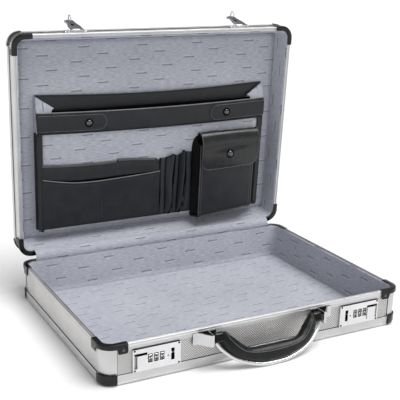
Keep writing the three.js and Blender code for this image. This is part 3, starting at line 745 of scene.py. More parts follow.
def through(points, x):
    """A smooth height through points (x, y) at x."""
    if x <= points[0][0]:
        return points[0][1]
    for i in range(len(points) - 1):
        (x0, y0), (x1, y1) = points[i], points[i + 1]
        if x <= x1:
            before, after = points[max(i - 1, 0)], points[min(i + 2, len(points) - 1)]
            m0 = (y1 - before[1]) / (x1 - before[0])
            m1 = (after[1] - y0) / (after[0] - x0)
            t, h = (x - x0) / (x1 - x0), x1 - x0
            return ((2 * t**3 - 3 * t * t + 1) * y0 + (t**3 - 2 * t * t + t) * h * m0
                    + (3 * t * t - 2 * t**3) * y1 + (t**3 - t * t) * h * m1)
    return points[-1][1]


def panel(x0, x1, low, high, depth, rounds=(0, 0, 0, 0), count=24, rise=8):
    """A sheet between low(x) and high(x) at depth(x, y).

    rounds are the radii of the corners: lower left, lower right, upper left, upper right.
    """
    ll, lr, ul, ur = rounds
    rows = []
    for x in spread(x0, x1, max(ll, ul), max(lr, ur), count):
        a = low(x) + eaten(x, x0, x1, ll, lr)
        b = high(x) - eaten(x, x0, x1, ul, ur)
        rows.append([(x, y, depth(x, y)) for y in evenly(a, b, rise)])
    return on_plane(grid(rows))


def edge_line(net, rise, top=True):
    """The upper or lower edge of a panel's net."""
    wide = rise + 1
    return [net["verts"][i] for i in range(rise if top else 0, len(net["verts"]), wide)]


def stitches(path, lift=(0, 0, 0.15)):
    """A row of short threads along a path, raised from it by lift."""
    length, gap, radius, lift = 2.2, 1.0, 0.28, Vector(lift)
    points = [Vector(p) for p in path]
    total = lengths(points)

    def spot(s):
        for i in range(len(points) - 1):
            if s <= total[i + 1] or i == len(points) - 2:
                t = (s - total[i]) / max(total[i + 1] - total[i], 1e-6)
                return points[i].lerp(points[i + 1], clamped(t)) + lift

    nets, at = [], gap
    sink = lift.normalized() * radius * 0.9
    while at + length < total[-1]:
        a, b = spot(at), spot(at + length)
        nets.append(tube([a - sink, a.lerp(b, 0.2), a.lerp(b, 0.8), b - sink], radius, 4))
        at += length + gap
    return nets


def threads(name, path, body="lid", **more):
    """A seam's row of stitches, as one piece."""
    on_lid(name, merged(*stitches(path, **more)), THREAD, body=body)


def arch(t):
    """A half wave, 0 at t = 0 and t = 1."""
    return math.sin(math.pi * clamped(t))


def sag(x):
    """How far the file pocket's middle gives, as a share of the most."""
    return max(1 - (x / POCKET_HALF) ** 2, 0.0)


def snap(name, x, y, w, body, radius=4.6):
    """A press stud's cap with its rolled foot, in a dark seat."""
    centre, axis = Vector((x, y, w)), Vector((0, 0, 1))
    profile = [(0.1, 2.3), (0.45, 2.25), (0.75, 1.9), (0.92, 1.2), (1.0, 0.6), (1.0, 0.15), (1.1, 0.12),
               (1.25, 0.2), (1.36, 0.12), (1.4, -0.05), (1.4, -0.3)]
    turn = axis.to_track_quat("Z", "Y")
    rows = []
    for a in turns(28):
        out = Vector((math.cos(a), math.sin(a), 0)) * radius
        rows.append([centre + turn @ (out * r + axis * h) for r, h in profile])
    net = grid(rows, closed=True)
    cap = tuple(range(0, len(net["verts"]), len(profile)))
    net["faces"].append(cap)
    net["uvs"].append(tuple((0.0, 0.0) for _ in cap))
    on_lid(name, net, SNAP_METAL, slot="chromed_steel", body=body)
    seat = ring(centre, axis, radius * 1.22, radius * 0.2, 28, 8)
    on_lid(name + "_seat", seat, DARK, slot="chromed_steel", body=body)


def band_top(x):
    """The height of the front band's upper edge."""
    return 49.5 - 3.5 * sag(x)


def band_depth(x, y):
    """How far the front band is from the lid's outer face."""
    return POCKET_FRONT + 0.5 + 1.2 * sag(x) + 0.7 * arch((y - 16) / 33)


def rear_depth(x, y):
    """How far the rear band is from the lid's outer face."""
    return 7.6 + 3.5 * sag(x) * (y - 40) / 30


def file_pocket():
    """The file pocket between its bindings: rear band, cloth side folds, and cloth front with its band."""
    def rear_low(x):
        """The rear band's lower edge, which is cut off slantwise over the side folds."""
        return 40.0 if abs(x) < 163 else 52.6 + (abs(x) - 163) / 27 * 18

    rear = panel(-189.5, 189.5, rear_low, lambda x: 72.5 - 5 * sag(x) ** 1.2, rear_depth, count=64)
    on_lid("rear_band", rear, thick=1.2, sharp=50)
    on_lid("rear_band_edge", tube([(x, y, w - 0.4) for x, y, w in edge_line(rear, 8)], 0.75, 6), sharp=50)
    # A near-black sheet in the pocket's mouth, between the rear band and the front band: painted shade.
    mouth = panel(-186, 186, lambda x: 41.0, lambda x: band_top(x) + 0.5 + 2.6 * sag(x) ** 2,
                  lambda x, y: rear_depth(x, y) + 0.8, count=48, rise=4)
    on_lid("file_pocket_mouth_shade", mouth, DARK, 0.4, sharp=50)

    # Side folds of cloth between the rear and front sheets.
    for side, sign in (("left", -1), ("right", 1)):
        rows, upper = [], []
        for t in evenly(0, 1, 8):
            a = Vector((sign * (189.5 - 27 * t), 71.5 - 18 * t, 9.2 + 3.0 * t))
            b = Vector((sign * (190.5 - 24 * t), 61 - 9.5 * t, 13.8 + 1.2 * t))
            c = Vector((sign * (191.0 - 24 * t), 47.5 - 2 * t, 18.6 - 1.6 * t))
            puffed, tucked = a.lerp(b, 0.35) + Vector((0, 0, 0.9)), b.lerp(c, 0.5) - Vector((0, 0, 1.2))
            rows.append([a, puffed, b, tucked, c])
            upper.append(a + Vector((0, 0, 0.5)))
        net = on_plane(grid(rows[::-sign]), 1, 0)
        on_lid(f"side_fold_{side}", net, CLOTH, 0.7, "lining_fabric", sharp=50, smooth=1)
        on_lid(f"side_fold_edge_{side}", tube(upper, 0.55, 6), CLOTH, slot="lining_fabric", sharp=50)

    # The front sheet: cloth window, and leatherette band with piping and a seam.
    front = panel(-186, 186, lambda x: POCKET_LOW + 1, lambda x: 22.0,
                  lambda x, y: POCKET_FRONT - 0.7 + 0.8 * sag(x) * arch((y + 132) / 160), count=40, rise=20)
    on_lid("file_pocket_cloth", front, CLOTH, 1.0, "lining_fabric", sharp=50,
           replaces=["file_pocket", "file_pocket_front"])
    band = panel(-190, 190, lambda x: 18.0 - 3.0 * sag(x), band_top, band_depth, count=64)
    on_lid("front_band", band, thick=1.3, sharp=50)
    lower = edge_line(band, 8, False)
    top = [(x, y - 0.2, w - 0.3) for x, y, w in edge_line(band, 8)]
    on_lid("front_band_piping", tube(top, 0.85, 8), PIPING, sharp=50)
    on_lid("front_band_fold", tube([(x, y + 0.1, w - 0.4) for x, y, w in lower], 0.8, 6), sharp=50)
    threads("front_band_thread", [(x, y + 2.4, band_depth(x, y + 2.4)) for x, y, w in lower][1:-1])


def pocket_binding():
    """Leatherette round the front sheet's sides and foot, and the cloth gussets above it."""
    for side, sign in (("left", -1), ("right", 1)):
        inner, outer = 183.5 if sign < 0 else 181.0, 190.0
        strip = []
        for y in evenly(POCKET_LOW - 0.5, 18.0, 24):
            wave = 0.25 * math.sin(y / 9) * sign
            strip.append([(sign * x, y, w) for x, w in (
                (inner, POCKET_FRONT + 0.05), (inner + 0.5, POCKET_FRONT + 0.85),
                (outer - 1.6, POCKET_FRONT + 0.8 + wave * 0.2), (outer, POCKET_FRONT - 0.4),
                (outer - 0.6 + wave, 15.5), (outer - 2.6 + wave, 12.4), (outer - 0.4, 9.2),
                (outer + 0.6, 5.6))])
        on_lid(f"side_binding_{side}", grid(strip[::sign]), thick=0.8, sharp=50)
        gusset = []
        for t in evenly(0, 1, 8):
            y = 18.5 + 53 * t
            gusset.append([(sign * (190.2 - 1.0 * t), y, 18.9 * (1 - t) + 8.4 * t),
                           (sign * (187.5 + 1.5 * t), y, 12.4 * (1 - t) + 7.4 * t),
                           (sign * (190.4 + 0.4 * t), y, 5.5)])
        net = on_plane(grid(gusset[::sign]), 1, 2)
        on_lid(f"side_gusset_{side}", net, CLOTH, 0.7, "lining_fabric", sharp=50)
    section = [(-1.0, 5.7), (-0.9, 12), (-1.2, POCKET_FRONT + 0.2), (-0.6, POCKET_FRONT + 0.9),
               (2.2, POCKET_FRONT + 1.0), (2.6, POCKET_FRONT + 0.3)]
    foot = [[(x, POCKET_LOW + y, w) for y, w in section] for x in evenly(-190.2, 190.2, 40)]
    on_lid("foot_binding", grid(foot), FOOT_LEATHER_LIT, 0.6, sharp=50)


def closing_straps():
    """Two straps over the front band, each with a raised edge, a seam and a snap."""
    def middle(x):
        return 33.7 - 3.2 * sag(x)

    round_end, half_width, seam_in = 11.4, 11.6, 2.2
    for side, x0, x1, x_snap in (("left", -190.3, -84.0, -112.0), ("right", 92.0, 190.3, 120.0)):
        left = side == "left"

        def depth(x, y):
            return band_depth(x, y) + 1.7 + 0.5 * math.cos((x - x_snap) / 14)

        def strap(start, end, half, radius):
            rounds = (0, radius, 0, radius) if left else (radius, 0, radius, 0)
            return panel(start, end, lambda x: middle(x) - half, lambda x: middle(x) + half, depth, rounds)

        def outline(net):
            """From the fixed end round the free end and back."""
            top, bottom = edge_line(net, 8), edge_line(net, 8, False)
            end = net["verts"][-8:-1] if left else net["verts"][1:8]
            return bottom + end + top[::-1] if left else bottom[::-1] + end + top

        whole = strap(x0, x1, half_width, round_end)
        on_lid(f"strap_{side}", whole, thick=1.8, sharp=50, bevel=0.45)
        rim = [(x, y, w - 0.25) for x, y, w in outline(whole)]
        on_lid(f"strap_edge_{side}", tube(rim, 0.6, 6), EDGE_AND_HIGHLIGHT_LEATHER, sharp=50)
        near, far = (x0, x1 - seam_in) if left else (x0 + seam_in, x1)
        threads(f"strap_thread_{side}", outline(strap(near, far, half_width - seam_in, round_end * 0.81)))
        snap(f"strap_snap_{side}", x_snap, middle(x_snap) - 0.5, depth(x_snap, 30) + 0.1, "lid")


def card_pockets():
    left, right, low_y = -184.5, 6.0, -128.5
    rear_left = [(-186, -28.0), (-150, -30.5), (-110, -32.0), (-68, -31.8)]
    rear_right = [(-64, -29.2), (-40, -30.6), (-8, -33.5), (6, -34.2)]
    front_line = [(-186, -50.0), (-160, -55.0), (-134, -58.6), (-100, -59.6), (-69, -58.8), (-30, -57.2),
                  (8, -55.0)]

    def rear_w(y, lift):
        return POCKET_FRONT + 1.6 + 1.0 * arch((y + 128) / 97) + lift

    def rear_sheet(x0, x1, line, lift, rounds, count):
        return panel(x0, x1, lambda x: low_y, lambda x: through(line, x),
                     lambda x, y: rear_w(y, lift), rounds, count)

    def hem(x0, x1, line, deep, lift, rounds, count):
        return panel(x0, x1, lambda x: through(line, x) - deep, lambda x: through(line, x) + 0.25,
                     lambda x, y: rear_w(y, lift), rounds, count, 3)

    one = rear_sheet(left, -67.0, rear_left, 0.0, (0, 0, 0, 2.0), 24)
    on_lid("card_pocket_rear_left", one, thick=1.2, sharp=50)
    two = rear_sheet(-66.0, 5.4, rear_right, 0.2, (0, 0, 2.0, 9.0), 16)
    on_lid("card_pocket_rear_right", two, thick=1.2, sharp=50)
    hems = [hem(left, -67.5, rear_left, 3.4, 0.45, (0, 0, 0, 2.0), 24),
            hem(-65.5, -3.0, rear_right, 3.2, 0.7, (0, 0, 2.0, 3.0), 16)]
    on_lid("card_pocket_hems", merged(*hems), EDGE_AND_HIGHLIGHT_LEATHER, 0.7, sharp=50, bevel=0.3)

    def belly(x):
        return arch((x - left) / (right - left))

    def front_w(x, y):
        t = clamped((y - low_y) / 70)
        grooves = sum(0.45 * math.exp(-(((x - s) / 1.3) ** 2)) for s in (-95.0, -89.5, -4.5, 0.0))
        return POCKET_FRONT + 3.3 + 2.2 * belly(x) * t**1.5 + 0.5 * math.sin(x / 23 + 1) * t - grooves

    cards = panel(left, right, lambda x: low_y, lambda x: through(front_line, x), front_w, count=150,
                  rise=10)
    on_lid("card_pocket_front", cards, thick=1.2, sharp=50, replaces=["card_pocket"])
    # A near-black sheet in the card pockets' mouths: painted shade.
    hollow = panel(left + 2, right - 2, lambda x: through(front_line, x) - 2,
                   lambda x: through(front_line, x) + 3.4 * belly(x) ** 0.7, lambda x, y: rear_w(y, 0.7),
                   count=40, rise=4)
    on_lid("card_pocket_mouth_shade", hollow, DARK, 0.3, sharp=50)
    edge = [(x, y - 0.3, w + 0.15) for x, y, w in edge_line(cards, 10)]
    on_lid("card_pocket_piping", tube(edge, 0.7, 6), PIPING, sharp=50)
    threads("card_pocket_thread", [(-92.2, y, front_w(-92.2, y) + 0.1) for y in range(-127, -60, 2)])
    for x, name in ((left, "left"), (right, "right")):
        path = [(x, y, POCKET_FRONT + 1.6) for y in range(-129, -54, 5)]
        on_lid(f"card_pocket_end_{name}", tube(path, 0.9, 6), sharp=50)


def pen_loops():
    """One strip of soft leatherette, pleated into two standing loops between three flat bands."""
    first, fine = 6.8, 24
    # The pleats' outline as (along, high), and how much further up each part of it reaches. The
    # hollows between them run from start to end, above the share foot of the height; they are painted
    # near-black as shade.
    pleats = fillet([Vector(p) for p in (
        (0, 0.9), (0.9, 2.4), (4.8, 3.4), (8.6, 2.6), (9.6, 0.9), (10.4, 2.2), (13.2, 6.6), (16, 9.6),
        (18, 10.4), (19.2, 9.0), (19.3, 4.0), (19.8, 0.9), (24.4, 0.9), (25, 2.4), (28, 3.4), (30.8, 2.6),
        (31.6, 0.9), (32.2, 2.4), (33.8, 7.2), (35.6, 10.6), (37, 11.6), (38.2, 10.2), (38.4, 4.5),
        (39, 0.9), (44.6, 0.9), (45.2, 2.6), (49.5, 4.2), (53.6, 3.2), (56, 1.0))], 1.6, 2, False)
    peaks = [(0, 0), (9, 0), (13, 3.5), (17, 7), (20, 4.5), (28, 2.5), (32, 3.5), (36.5, 12), (40, 8),
             (50, 6), (56, 6)]
    shaded_hollows = ((0.0, 0.7, 0.0), (9.1, 10.1, 0.0), (19.0, 24.9, 0.24), (31.1, 32.0, 0.0), (38.0, 45.0, 0.22))
    rows = []
    for along, high in pleats:
        row = []
        for s in evenly(0, 1, fine):
            pinch = 0.35 + 0.65 * min(s / 0.3, 1.0) ** 0.7
            y = -129.0 + (94.0 + through(peaks, along)) * s
            lean = 2.6 * (s - 0.5) * min(high / 6, 1) + 0.7 * math.sin(5 * s + along / 8)
            swell = 1 - 0.1 * math.cos(7 * s + along / 9)
            row.append((first + along + lean, y, POCKET_FRONT + 0.5 + high * pinch * swell))
        rows.append(row)
    made = on_lid("pen_loop_strip", grid(rows), PEN_LEATHER, 0.9, sharp=50, replaces=["pen_loops"])
    # The hollows' faces, and the commas at their feet, take the near-black: painted shade.
    made.data.materials.append(DARK.material)
    for number, face in enumerate(made.data.polygons):
        along, s = pleats[number // fine][0], (number % fine + 0.5) / fine
        for start, end, foot in shaded_hollows:
            wide = clamped((s - foot) / 0.3) ** 0.5 if foot else 1.0
            comma = foot and s < 0.15 and abs(along - start - 36 * (s - 0.075)) < 1.9
            if start <= along <= start + (end - start) * wide and s > foot or comma:
                face.material_index = 1
    width = lengths([row[fine // 2] for row in rows])[-1] * MM
    backing = panel(5.0, 62.0, lambda x: -129.5, lambda x: -36.0, lambda x, y: POCKET_FRONT + 0.9,
                    (0, 0, 0, 3), 4)
    on_lid("pen_loop_backing", backing, PEN_LEATHER, 0.9, sharp=50)
    tops = [(x, y + 0.1, w - 0.3) for x, y, w in (row[-1] for row in rows)]
    on_lid("pen_loop_edges", tube(tops, 0.55, 6), sharp=50)


def phone_pouch():
    """Pouch whose sides splay out to the sheet behind it, and whose foot rises to the right."""
    x0, x1, low, top, back, front = 70.0, 169.0, -137.0, -16.0, POCKET_FRONT, 38.0
    back_x0, back_x1 = 62.6, 183.5

    def foot_y(x):
        return low + 9.0 * clamped((x - x0) / (x1 - x0))

    def front_w(x, y):
        across = arch((x - x0) / (x1 - x0)) ** 0.6
        return front - 2.4 + 2.2 * across * (0.35 + 0.65 * arch((y - low) / (top - low)) ** 0.7)

    face = panel(x0, x1, lambda x: foot_y(x) + 1, lambda x: top - 1.5 * arch((x - x0) / (x1 - x0)),
                 front_w, (3.0, 3.0, 1.5, 1.5), 28, 24)
    on_lid("phone_pouch_front", face, POUCH_LEATHER, 1.5, sharp=60, replaces=["phone_pocket"])
    rims = []
    for inset, radius, lift in ((0.8, 0.75, 0.1), (4.6, 0.4, -0.1)):
        for x in (x0 + inset, x1 - inset):
            path = [(x, y, front_w(x, y) + lift) for y in evenly(foot_y(x) + 3, top - 1, 20)]
            rims.append(tube(path, radius, 6))
    path = [(x, foot_y(x) + 1.5, front_w(x, low) + 0.2) for x in evenly(x0 + 3, x1 - 3, 20)]
    rims.append(tube(path, 0.6, 6))
    on_lid("phone_pouch_piping", merged(*rims), EDGE_AND_HIGHLIGHT_LEATHER)

    # Crushed gussets, drawn in at their top, in a darker copy of the leatherette: painted shade.
    for name, near, far, sign in (("left", x0 + 0.3, back_x0, 1), ("right", x1 - 0.3, back_x1, -1)):
        rows = []
        foot = foot_y(near)
        for t in evenly(0, 1, 32):
            y = foot + 2 + (top - foot - 3) * t
            drawn = 7.0 * max((32 * t - 27) / 5, 0) ** 1.5
            crush = 0.9 * math.sin(y / 7.5) + 0.5 * math.sin(y / 3.1 + 1)
            inner = near + sign * (3.4 + crush)
            rows.append([
                (near, y, front - 3.2), (near + sign * 2.2, y, front - 5.6), (inner, y, front - 8.5),
                ((inner + far) / 2 + sign * 0.6 * crush, y + 3 * t, back + 7.0),
                (far + sign * (1.2 + drawn), y + 8 * t, back + 3.2),
                (far + sign * drawn, y + 10 * t, back + 0.7),
            ])
        on_lid(f"phone_pouch_gusset_{name}", grid(rows[::sign]), SHADED_LEATHER, 1.0, sharp=60, smooth=1)

    bottom, welt = [], []
    for t in evenly(0, 1, 24):
        x, far = x0 + 0.6 + (x1 - x0 - 1.2) * t, back_x0 + 1.0 + (back_x1 - back_x0 - 2.0) * t
        belly, foot = 0.8 * arch(t), foot_y(x)
        bottom.append([(far, foot + 0.5, back + 0.4), (far, foot - 1.4, back + 4),
                       ((x + far) / 2, foot - 0.9, (front + back) / 2), (x, foot - 1.9, front - 8),
                       (x, foot - 1.2, front - 3.5 + belly), (x, foot + 1.2, front - 2.0 + belly)])
        x = x0 - 0.6 + 0.86 * (x1 - x0) * t
        deep, edge = 5.0 * (1 - t) ** 0.8 + 0.6, foot_y(x) + 0.6
        welt.append([(x, edge - down, front - back_by) for down, back_by in (
            (deep * 0.7, 6.0), (deep, 3.4), (deep * 0.6, 1.0), (0.5, 0.2), (0, 1.2))])
    on_lid("phone_pouch_bottom", grid(bottom), POUCH_LEATHER, 1.2, sharp=60)
    on_lid("phone_pouch_welt", grid(welt), WELT_LEATHER, 0.9, sharp=60)
    # The sheet behind the pouch, in the same darker copy of the leatherette: painted shade.
    rear = panel(back_x0, back_x1, foot_y, lambda x: 0.5, lambda x, y: back + 0.9, (2, 2, 22, 15), 12)
    on_lid("phone_pouch_back", rear, SHADED_LEATHER, 0.9)


def phone_flap():
    """The flap: out of the pouch's back, over its mouth and down its front. It leans up to the right."""
    path = fillet([Vector(p) for p in (
        (-3.0, 20.7), (-1.0, 21.6), (1.6, 24.0), (3.0, 27.0), (2.8, 31.0), (0.4, 34.8), (-4.5, 38.2),
        (-11.0, 40.7), (-19.0, 41.6), (-28.0, 41.6), (-38.0, 41.4), (-47.0, 40.8), (-56.0, 39.6),
    )], 3.0, 2, False)
    left, right, radius, foot = 71.5, 174.5, 14.0, path[-1][0]
    middle, half = (left + right) / 2, (right - left) / 2
    rows = []
    for x in spread(left, right, radius, radius, 22, 7):
        lift = eaten(x, left, right, radius, radius)
        t = (x - middle) / half
        across = math.cos(math.pi * t / 2)
        row = []
        for y, w in path:
            down = clamped((-y - 4) / 52)
            if y < foot + radius + 12:
                y = y + lift * ((foot + radius + 12 - y) / (radius + 12))
            bulge = 1.6 * across * math.sin(math.pi * down)
            dimple = -4.2 * math.exp(-(((t + 0.05) / 0.7) ** 2) - ((y + 21 - 3 * t) / 5.5) ** 2)
            crown = 1.4 * math.exp(-(((y - 1) / 7) ** 2)) * across
            lean = 0.03 * (x - middle) * min(0.4 + down, 1)
            row.append((x, y + crown * 0.5 + lean, w + bulge + dimple + crown))
        rows.append(row)
    flap = on_lid("phone_flap_leather", grid([row[::-1] for row in rows]), FLAP_LEATHER, 1.9, body=None,
                  sharp=60, bevel=0.5, replaces=["phone_flap"])
    fold = [LID @ Vector((middle, -2.0, w)) * MM for w in (20.7, 38.0)]
    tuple(fold[0])
    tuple(fold[1])
    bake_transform(flap)
    length = lengths(path)[-1]

    outline = [Vector(p) for p in rows[0] + [row[-1] for row in rows[1:-1]] + rows[-1][::-1]]
    edge = [p + Vector((0.3 if p.x < middle else -0.3, 0, -0.35)) for p in outline]
    binding = on_lid("phone_flap_edge", tube(edge, 0.75, 6), EDGE_AND_HIGHLIGHT_LEATHER, body=None)
    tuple(fold[0])
    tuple(fold[1])
    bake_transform(binding)
    seam = [p + Vector(((middle - p.x) * 0.055, 2.7 * clamped((foot + 14 - p.y) / 14), 0)) for p in outline]
    threads("phone_flap_thread", [p for p in seam if p.y < -8], "phone_flap", lift=(0, 0, 0.3))
    snap("phone_flap_snap", 120.5, -32.5, 42.6, "phone_flap", 5.0)


# ---- The cloth over the hinge ----
def hinge_strip():
    """Cloth from the base's back wall, over both hinge leaves and onto the lid's lower wall.

    Its path is drawn in the plane of y and z, and bends round the hinge's axis.
    """
    def lid_point(y, w):
        return (LID @ Vector((0, y, w))).yz

    axis = HINGE.yz
    start = [Vector(p) for p in ((153.2, 33.0), (154.4, 40.0), (155.6, 47.0), (156.4, 51.5))]
    end = [lid_point(y, w) for y, w in ((-155.9, 27.0), (-154.6, 21.5), (-152.5, 15.0), (-150.4, 9.5))]
    a, b = start[-1] - axis, end[0] - axis
    angle_a, angle_b = (math.atan2(p.y, p.x) % (2 * math.pi) for p in (a, b))
    arc = []
    for t in evenly(0, 1, 16)[1:-1]:
        angle = angle_a + (angle_b - angle_a) * t
        reach = a.length + (b.length - a.length) * t + 0.5 * math.sin(math.pi * t)
        arc.append(axis + Vector((math.cos(angle), math.sin(angle))) * reach)
    path = [Vector(p) for p in fillet(start + arc + end, 2.5, 3, False)]
    count, run = len(path), lengths(path)
    normals = []
    for before, after in zip([path[0], *path[:-1]], [*path[1:], path[-1]]):
        d = (after - before).normalized()
        normals.append(Vector((-d.y, d.x)))
    thickness, columns = 0.7, 100
    rows = []
    for t in evenly(-1, 1, columns):
        front, back = [], []
        for p, n, at in zip(path, normals, run):
            s = at / run[-1]
            x = (207.5 - 4.5 * math.sin(math.pi * s) ** 2) * t
            ripple = 0.16 * math.sin(x / 13 + 2 * s) + 0.1 * math.sin(x / 5.3)
            q = p + n * (ripple * math.sin(math.pi * s))
            front.append((x, *q))
            back.append((x, *(q - n * thickness)))
        rows.append(front + back[::-1])
    net = grid(rows, around=True, ends=True)
    # Both faces take their UVs from their place on the cloth.
    wide, heights = 2 * count, run + run[::-1]
    uvs = []
    for i in range(columns):
        for j in range(wide):
            k = (j + 1) % wide
            xs = rows[i][j][0], rows[i + 1][j][0], rows[i + 1][k][0], rows[i][k][0]
            uvs.append(tuple(zip(xs, (heights[j], heights[j], heights[k], heights[k]))))
    net["uvs"] = uvs + [tuple((0.0, 0.0) for _ in range(wide))] * 2
    strip = piece("hinge_cloth", **net, look=CLOTH, body=None, slot="lining_fabric", sharp=70)
    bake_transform(strip)


# ---- The handle ----
PIVOT = Vector(joint("handle_swing")["pos_m"]) / MM
# From the handle's own frame (x right, -y out from its pivots, z out of its upper face) to the row frame.
HANDLE = Matrix.Translation(PIVOT) @ Matrix.Rotation(math.radians(60.5), 4, "X")


def stations(left):
    """Inner and outer points of half a bow, smoothed and mirrored to the other side."""
    whole = left + [((-ix, iy), (-ox, oy)) for (ix, iy), (ox, oy) in reversed(left[:-1])]
    last, steps = len(whole) - 1, 7
    made = []
    for i in range(last):
        for k in range(steps):
            t = k / steps
            pair = []
            for side in (0, 1):
                p0, p1, p2, p3 = (Vector(whole[min(max(j, 0), last)][side]) for j in range(i - 1, i + 3))
                pair.append(0.5 * (2 * p1 + (p2 - p0) * t + (2 * p0 - 5 * p1 + 4 * p2 - p3) * t * t
                                   + (3 * p1 - p0 - 3 * p2 + p3) * t**3))
            made.append(pair)
    return made + [[Vector(p) for p in whole[-1]]]


def on_handle(name, net, look, slot, **more):
    """A piece of the handle, in its own frame."""
    piece(name, **net, look=look, body="handle", slot=slot, place=HANDLE, **more)


def handle():
    """A padded grip on a flat bow, between moulded shoulders that turn on pins in the brackets."""
    # Inner and outer points of the left half, and the grip's section as (share of its width, height).
    grip = [
        ((-62.5, 6), (-70, 6)), ((-57.5, 0), (-71.5, -4)), ((-50.5, -6.5), (-69, -13)),
        ((-43.5, -13.6), (-62.5, -22)), ((-37, -18.6), (-52, -30.5)), ((-28, -20.3), (-37, -36.8)),
        ((-14, -20.5), (-18.5, -41.4)), ((0, -20.5), (0, -42.3)),
    ]
    section = [(0, 0), (0.02, 2.2), (0.08, 4.6), (0.2, 6.5), (0.34, 7.6), (0.43, 8.1), (0.5, 7.7),
               (0.62, 7.0), (0.78, 6.1), (0.9, 4.6), (0.97, 2.4), (1.0, 0)]
    rows = []
    line = stations(grip)
    for i, (a, b) in enumerate(line):
        end = min(i, len(line) - 1 - i) / 10
        swell = 0.55 + 0.45 * min(end, 1) ** 0.5
        top = [(*a.lerp(b, t), z * swell) for t, z in section]
        rows.append(top + [(*a.lerp(b, t), -0.25) for t in (0.96, 0.5, 0.04)])
    net = grid(rows, around=True, ends=True)
    on_handle("handle_grip_leather", net, GRIP_LEATHER, "black_leather", sharp=75, replaces=["handle_grip"])
    # A paler bead along the crest of the grip: painted highlight.
    ridge = [a.lerp(b, 0.435).to_3d() + Vector((0, 0, 8.05)) for a, b in line[4:-4]]
    on_handle("handle_ridge_highlight", tube(ridge, 0.55, 6), EDGE_AND_HIGHLIGHT_LEATHER, "black_leather")

    bow = [
        ((-64.5, 6), (-80.0, 6)), ((-58.5, 0.5), (-80.5, -4)), ((-51.3, -6.6), (-77, -13)),
        ((-44.3, -13.6), (-69, -22.5)), ((-37.2, -18.4), (-57.5, -32.3)), ((-28.1, -20.0), (-40, -41)),
        ((-14, -20.2), (-19.5, -46.6)), ((0, -20.2), (0, -47.7)),
    ]
    rows = []
    for a, b in stations(bow):
        wide = (b - a).length
        lip = max(1 - 5.4 / wide, 0.3)
        rest = 1 - lip
        profile = [(0, -0.9), (0.5 / wide, -0.4), (lip - 0.03, -0.4), (lip, 0.2), (lip + rest * 0.25, 1.4),
                   (lip + rest * 0.55, 1.9), (lip + rest * 0.82, 1.2), (1.0, -0.6), (1.0, -1.6),
                   (1 - 0.7 / wide, -2.6), (1 - 2.0 / wide, -3.0), (0.5 / wide, -3.0), (0, -2.4)]
        rows.append([(*a.lerp(b, t), z) for t, z in profile])
    net = grid(rows, around=True, ends=True)
    on_handle("handle_bow", net, LOCK_METAL, "profile_aluminium", sharp=75, replaces=["handle_frame"])
    blocks, pins = [], []
    shoulder = fillet([(-4.6, -6.5), (5.6, -6.5), (5.6, 4.6), (3.2, 7.2), (-4.6, 7.2)], 2.6, 4)
    for sign in (-1, 1):
        rows = []
        for x, size in ((67.8, 0.86), (68.4, 0.97), (69.4, 1.0), (78.6, 1.0), (79.8, 0.97), (80.4, 0.86)):
            rows.append([(sign * x, y * size, z * size) for z, y in shoulder])
        blocks.append(grid(rows, around=True, ends=True))
        for xs, radius in (((66, 74, 80.2), 3.1), ((80, 84, 87), 1.9)):
            pins.append(tube([(sign * x, 0, 0) for x in xs], radius, 20))
        pins.append(dome(Vector((sign * 87.0, 0, 0)), Vector((sign, 0, 0)), 1.9, 0.5))
    on_handle("handle_shoulders", merged(*blocks), PLASTIC, "black_plastic", sharp=45)
    on_handle("handle_pivots", merged(*pins), CHROME, "chromed_steel")


def bracket_hollows():
    """A near-black sheet inside each folded bracket, just below its open top: painted shade."""
    outline = [(97.2, 0.7), (85.8, 14.2), (84.35, 14.2), (84.35, 0.7)]
    for side, sign in (("left", -1), ("right", 1)):
        middle = box_mm(f"handle_bracket_{side}")[1].z - 0.9
        rows = [[(sign * x, -HALF_DEPTH - proud, z) for x, proud in outline]
                for z in (middle + sign * 0.3, middle - sign * 0.3)]
        piece(f"bracket_inside_shade_{side}", **grid(rows, around=True, ends=True), look=DARK, body="base",
              slot="chromed_steel")


# ---- The locks ----
# Distances along the front from the case's middle, and heights, in mm
BUTTON_NEAR, BUTTON_FAR, BUTTON_TOP = 167.2, 184.2, 35.3
CASE_NEAR, CASE_FAR = 126.4, 180.6
RESET_X, RESET_Z = 138.9, 27.4


def digits():
    """Outlines of 0 to 9 as points in mm about their middle, and faces."""
    glyphs = []
    for number in range(10):
        curve = bpy.data.curves.new("glyph", "FONT")
        curve.body, curve.size, curve.offset = str(number), 4.4, 0.14
        curve.align_x, curve.align_y = "CENTER", "CENTER"
        curve.resolution_u = 3
        holder = bpy.data.objects.new("glyph", curve)
        bpy.context.scene.collection.objects.link(holder)
        bpy.context.view_layer.update()
        shown = holder.evaluated_get(bpy.context.evaluated_depsgraph_get())
        mesh = bpy.data.meshes.new_from_object(shown)
        high = [v.co.y for v in mesh.vertices]
        middle = (max(high) + min(high)) / 2
        points = [(v.co.x, v.co.y - middle) for v in mesh.vertices]
        glyphs.append((points, [tuple(p.vertices) for p in mesh.polygons]))
        bpy.data.objects.remove(holder)
        bpy.data.meshes.remove(mesh)
    return glyphs


DIGIT_STEP = math.radians(36)
OUTWARD = Vector((0, -1, 0))  # out of the case's front


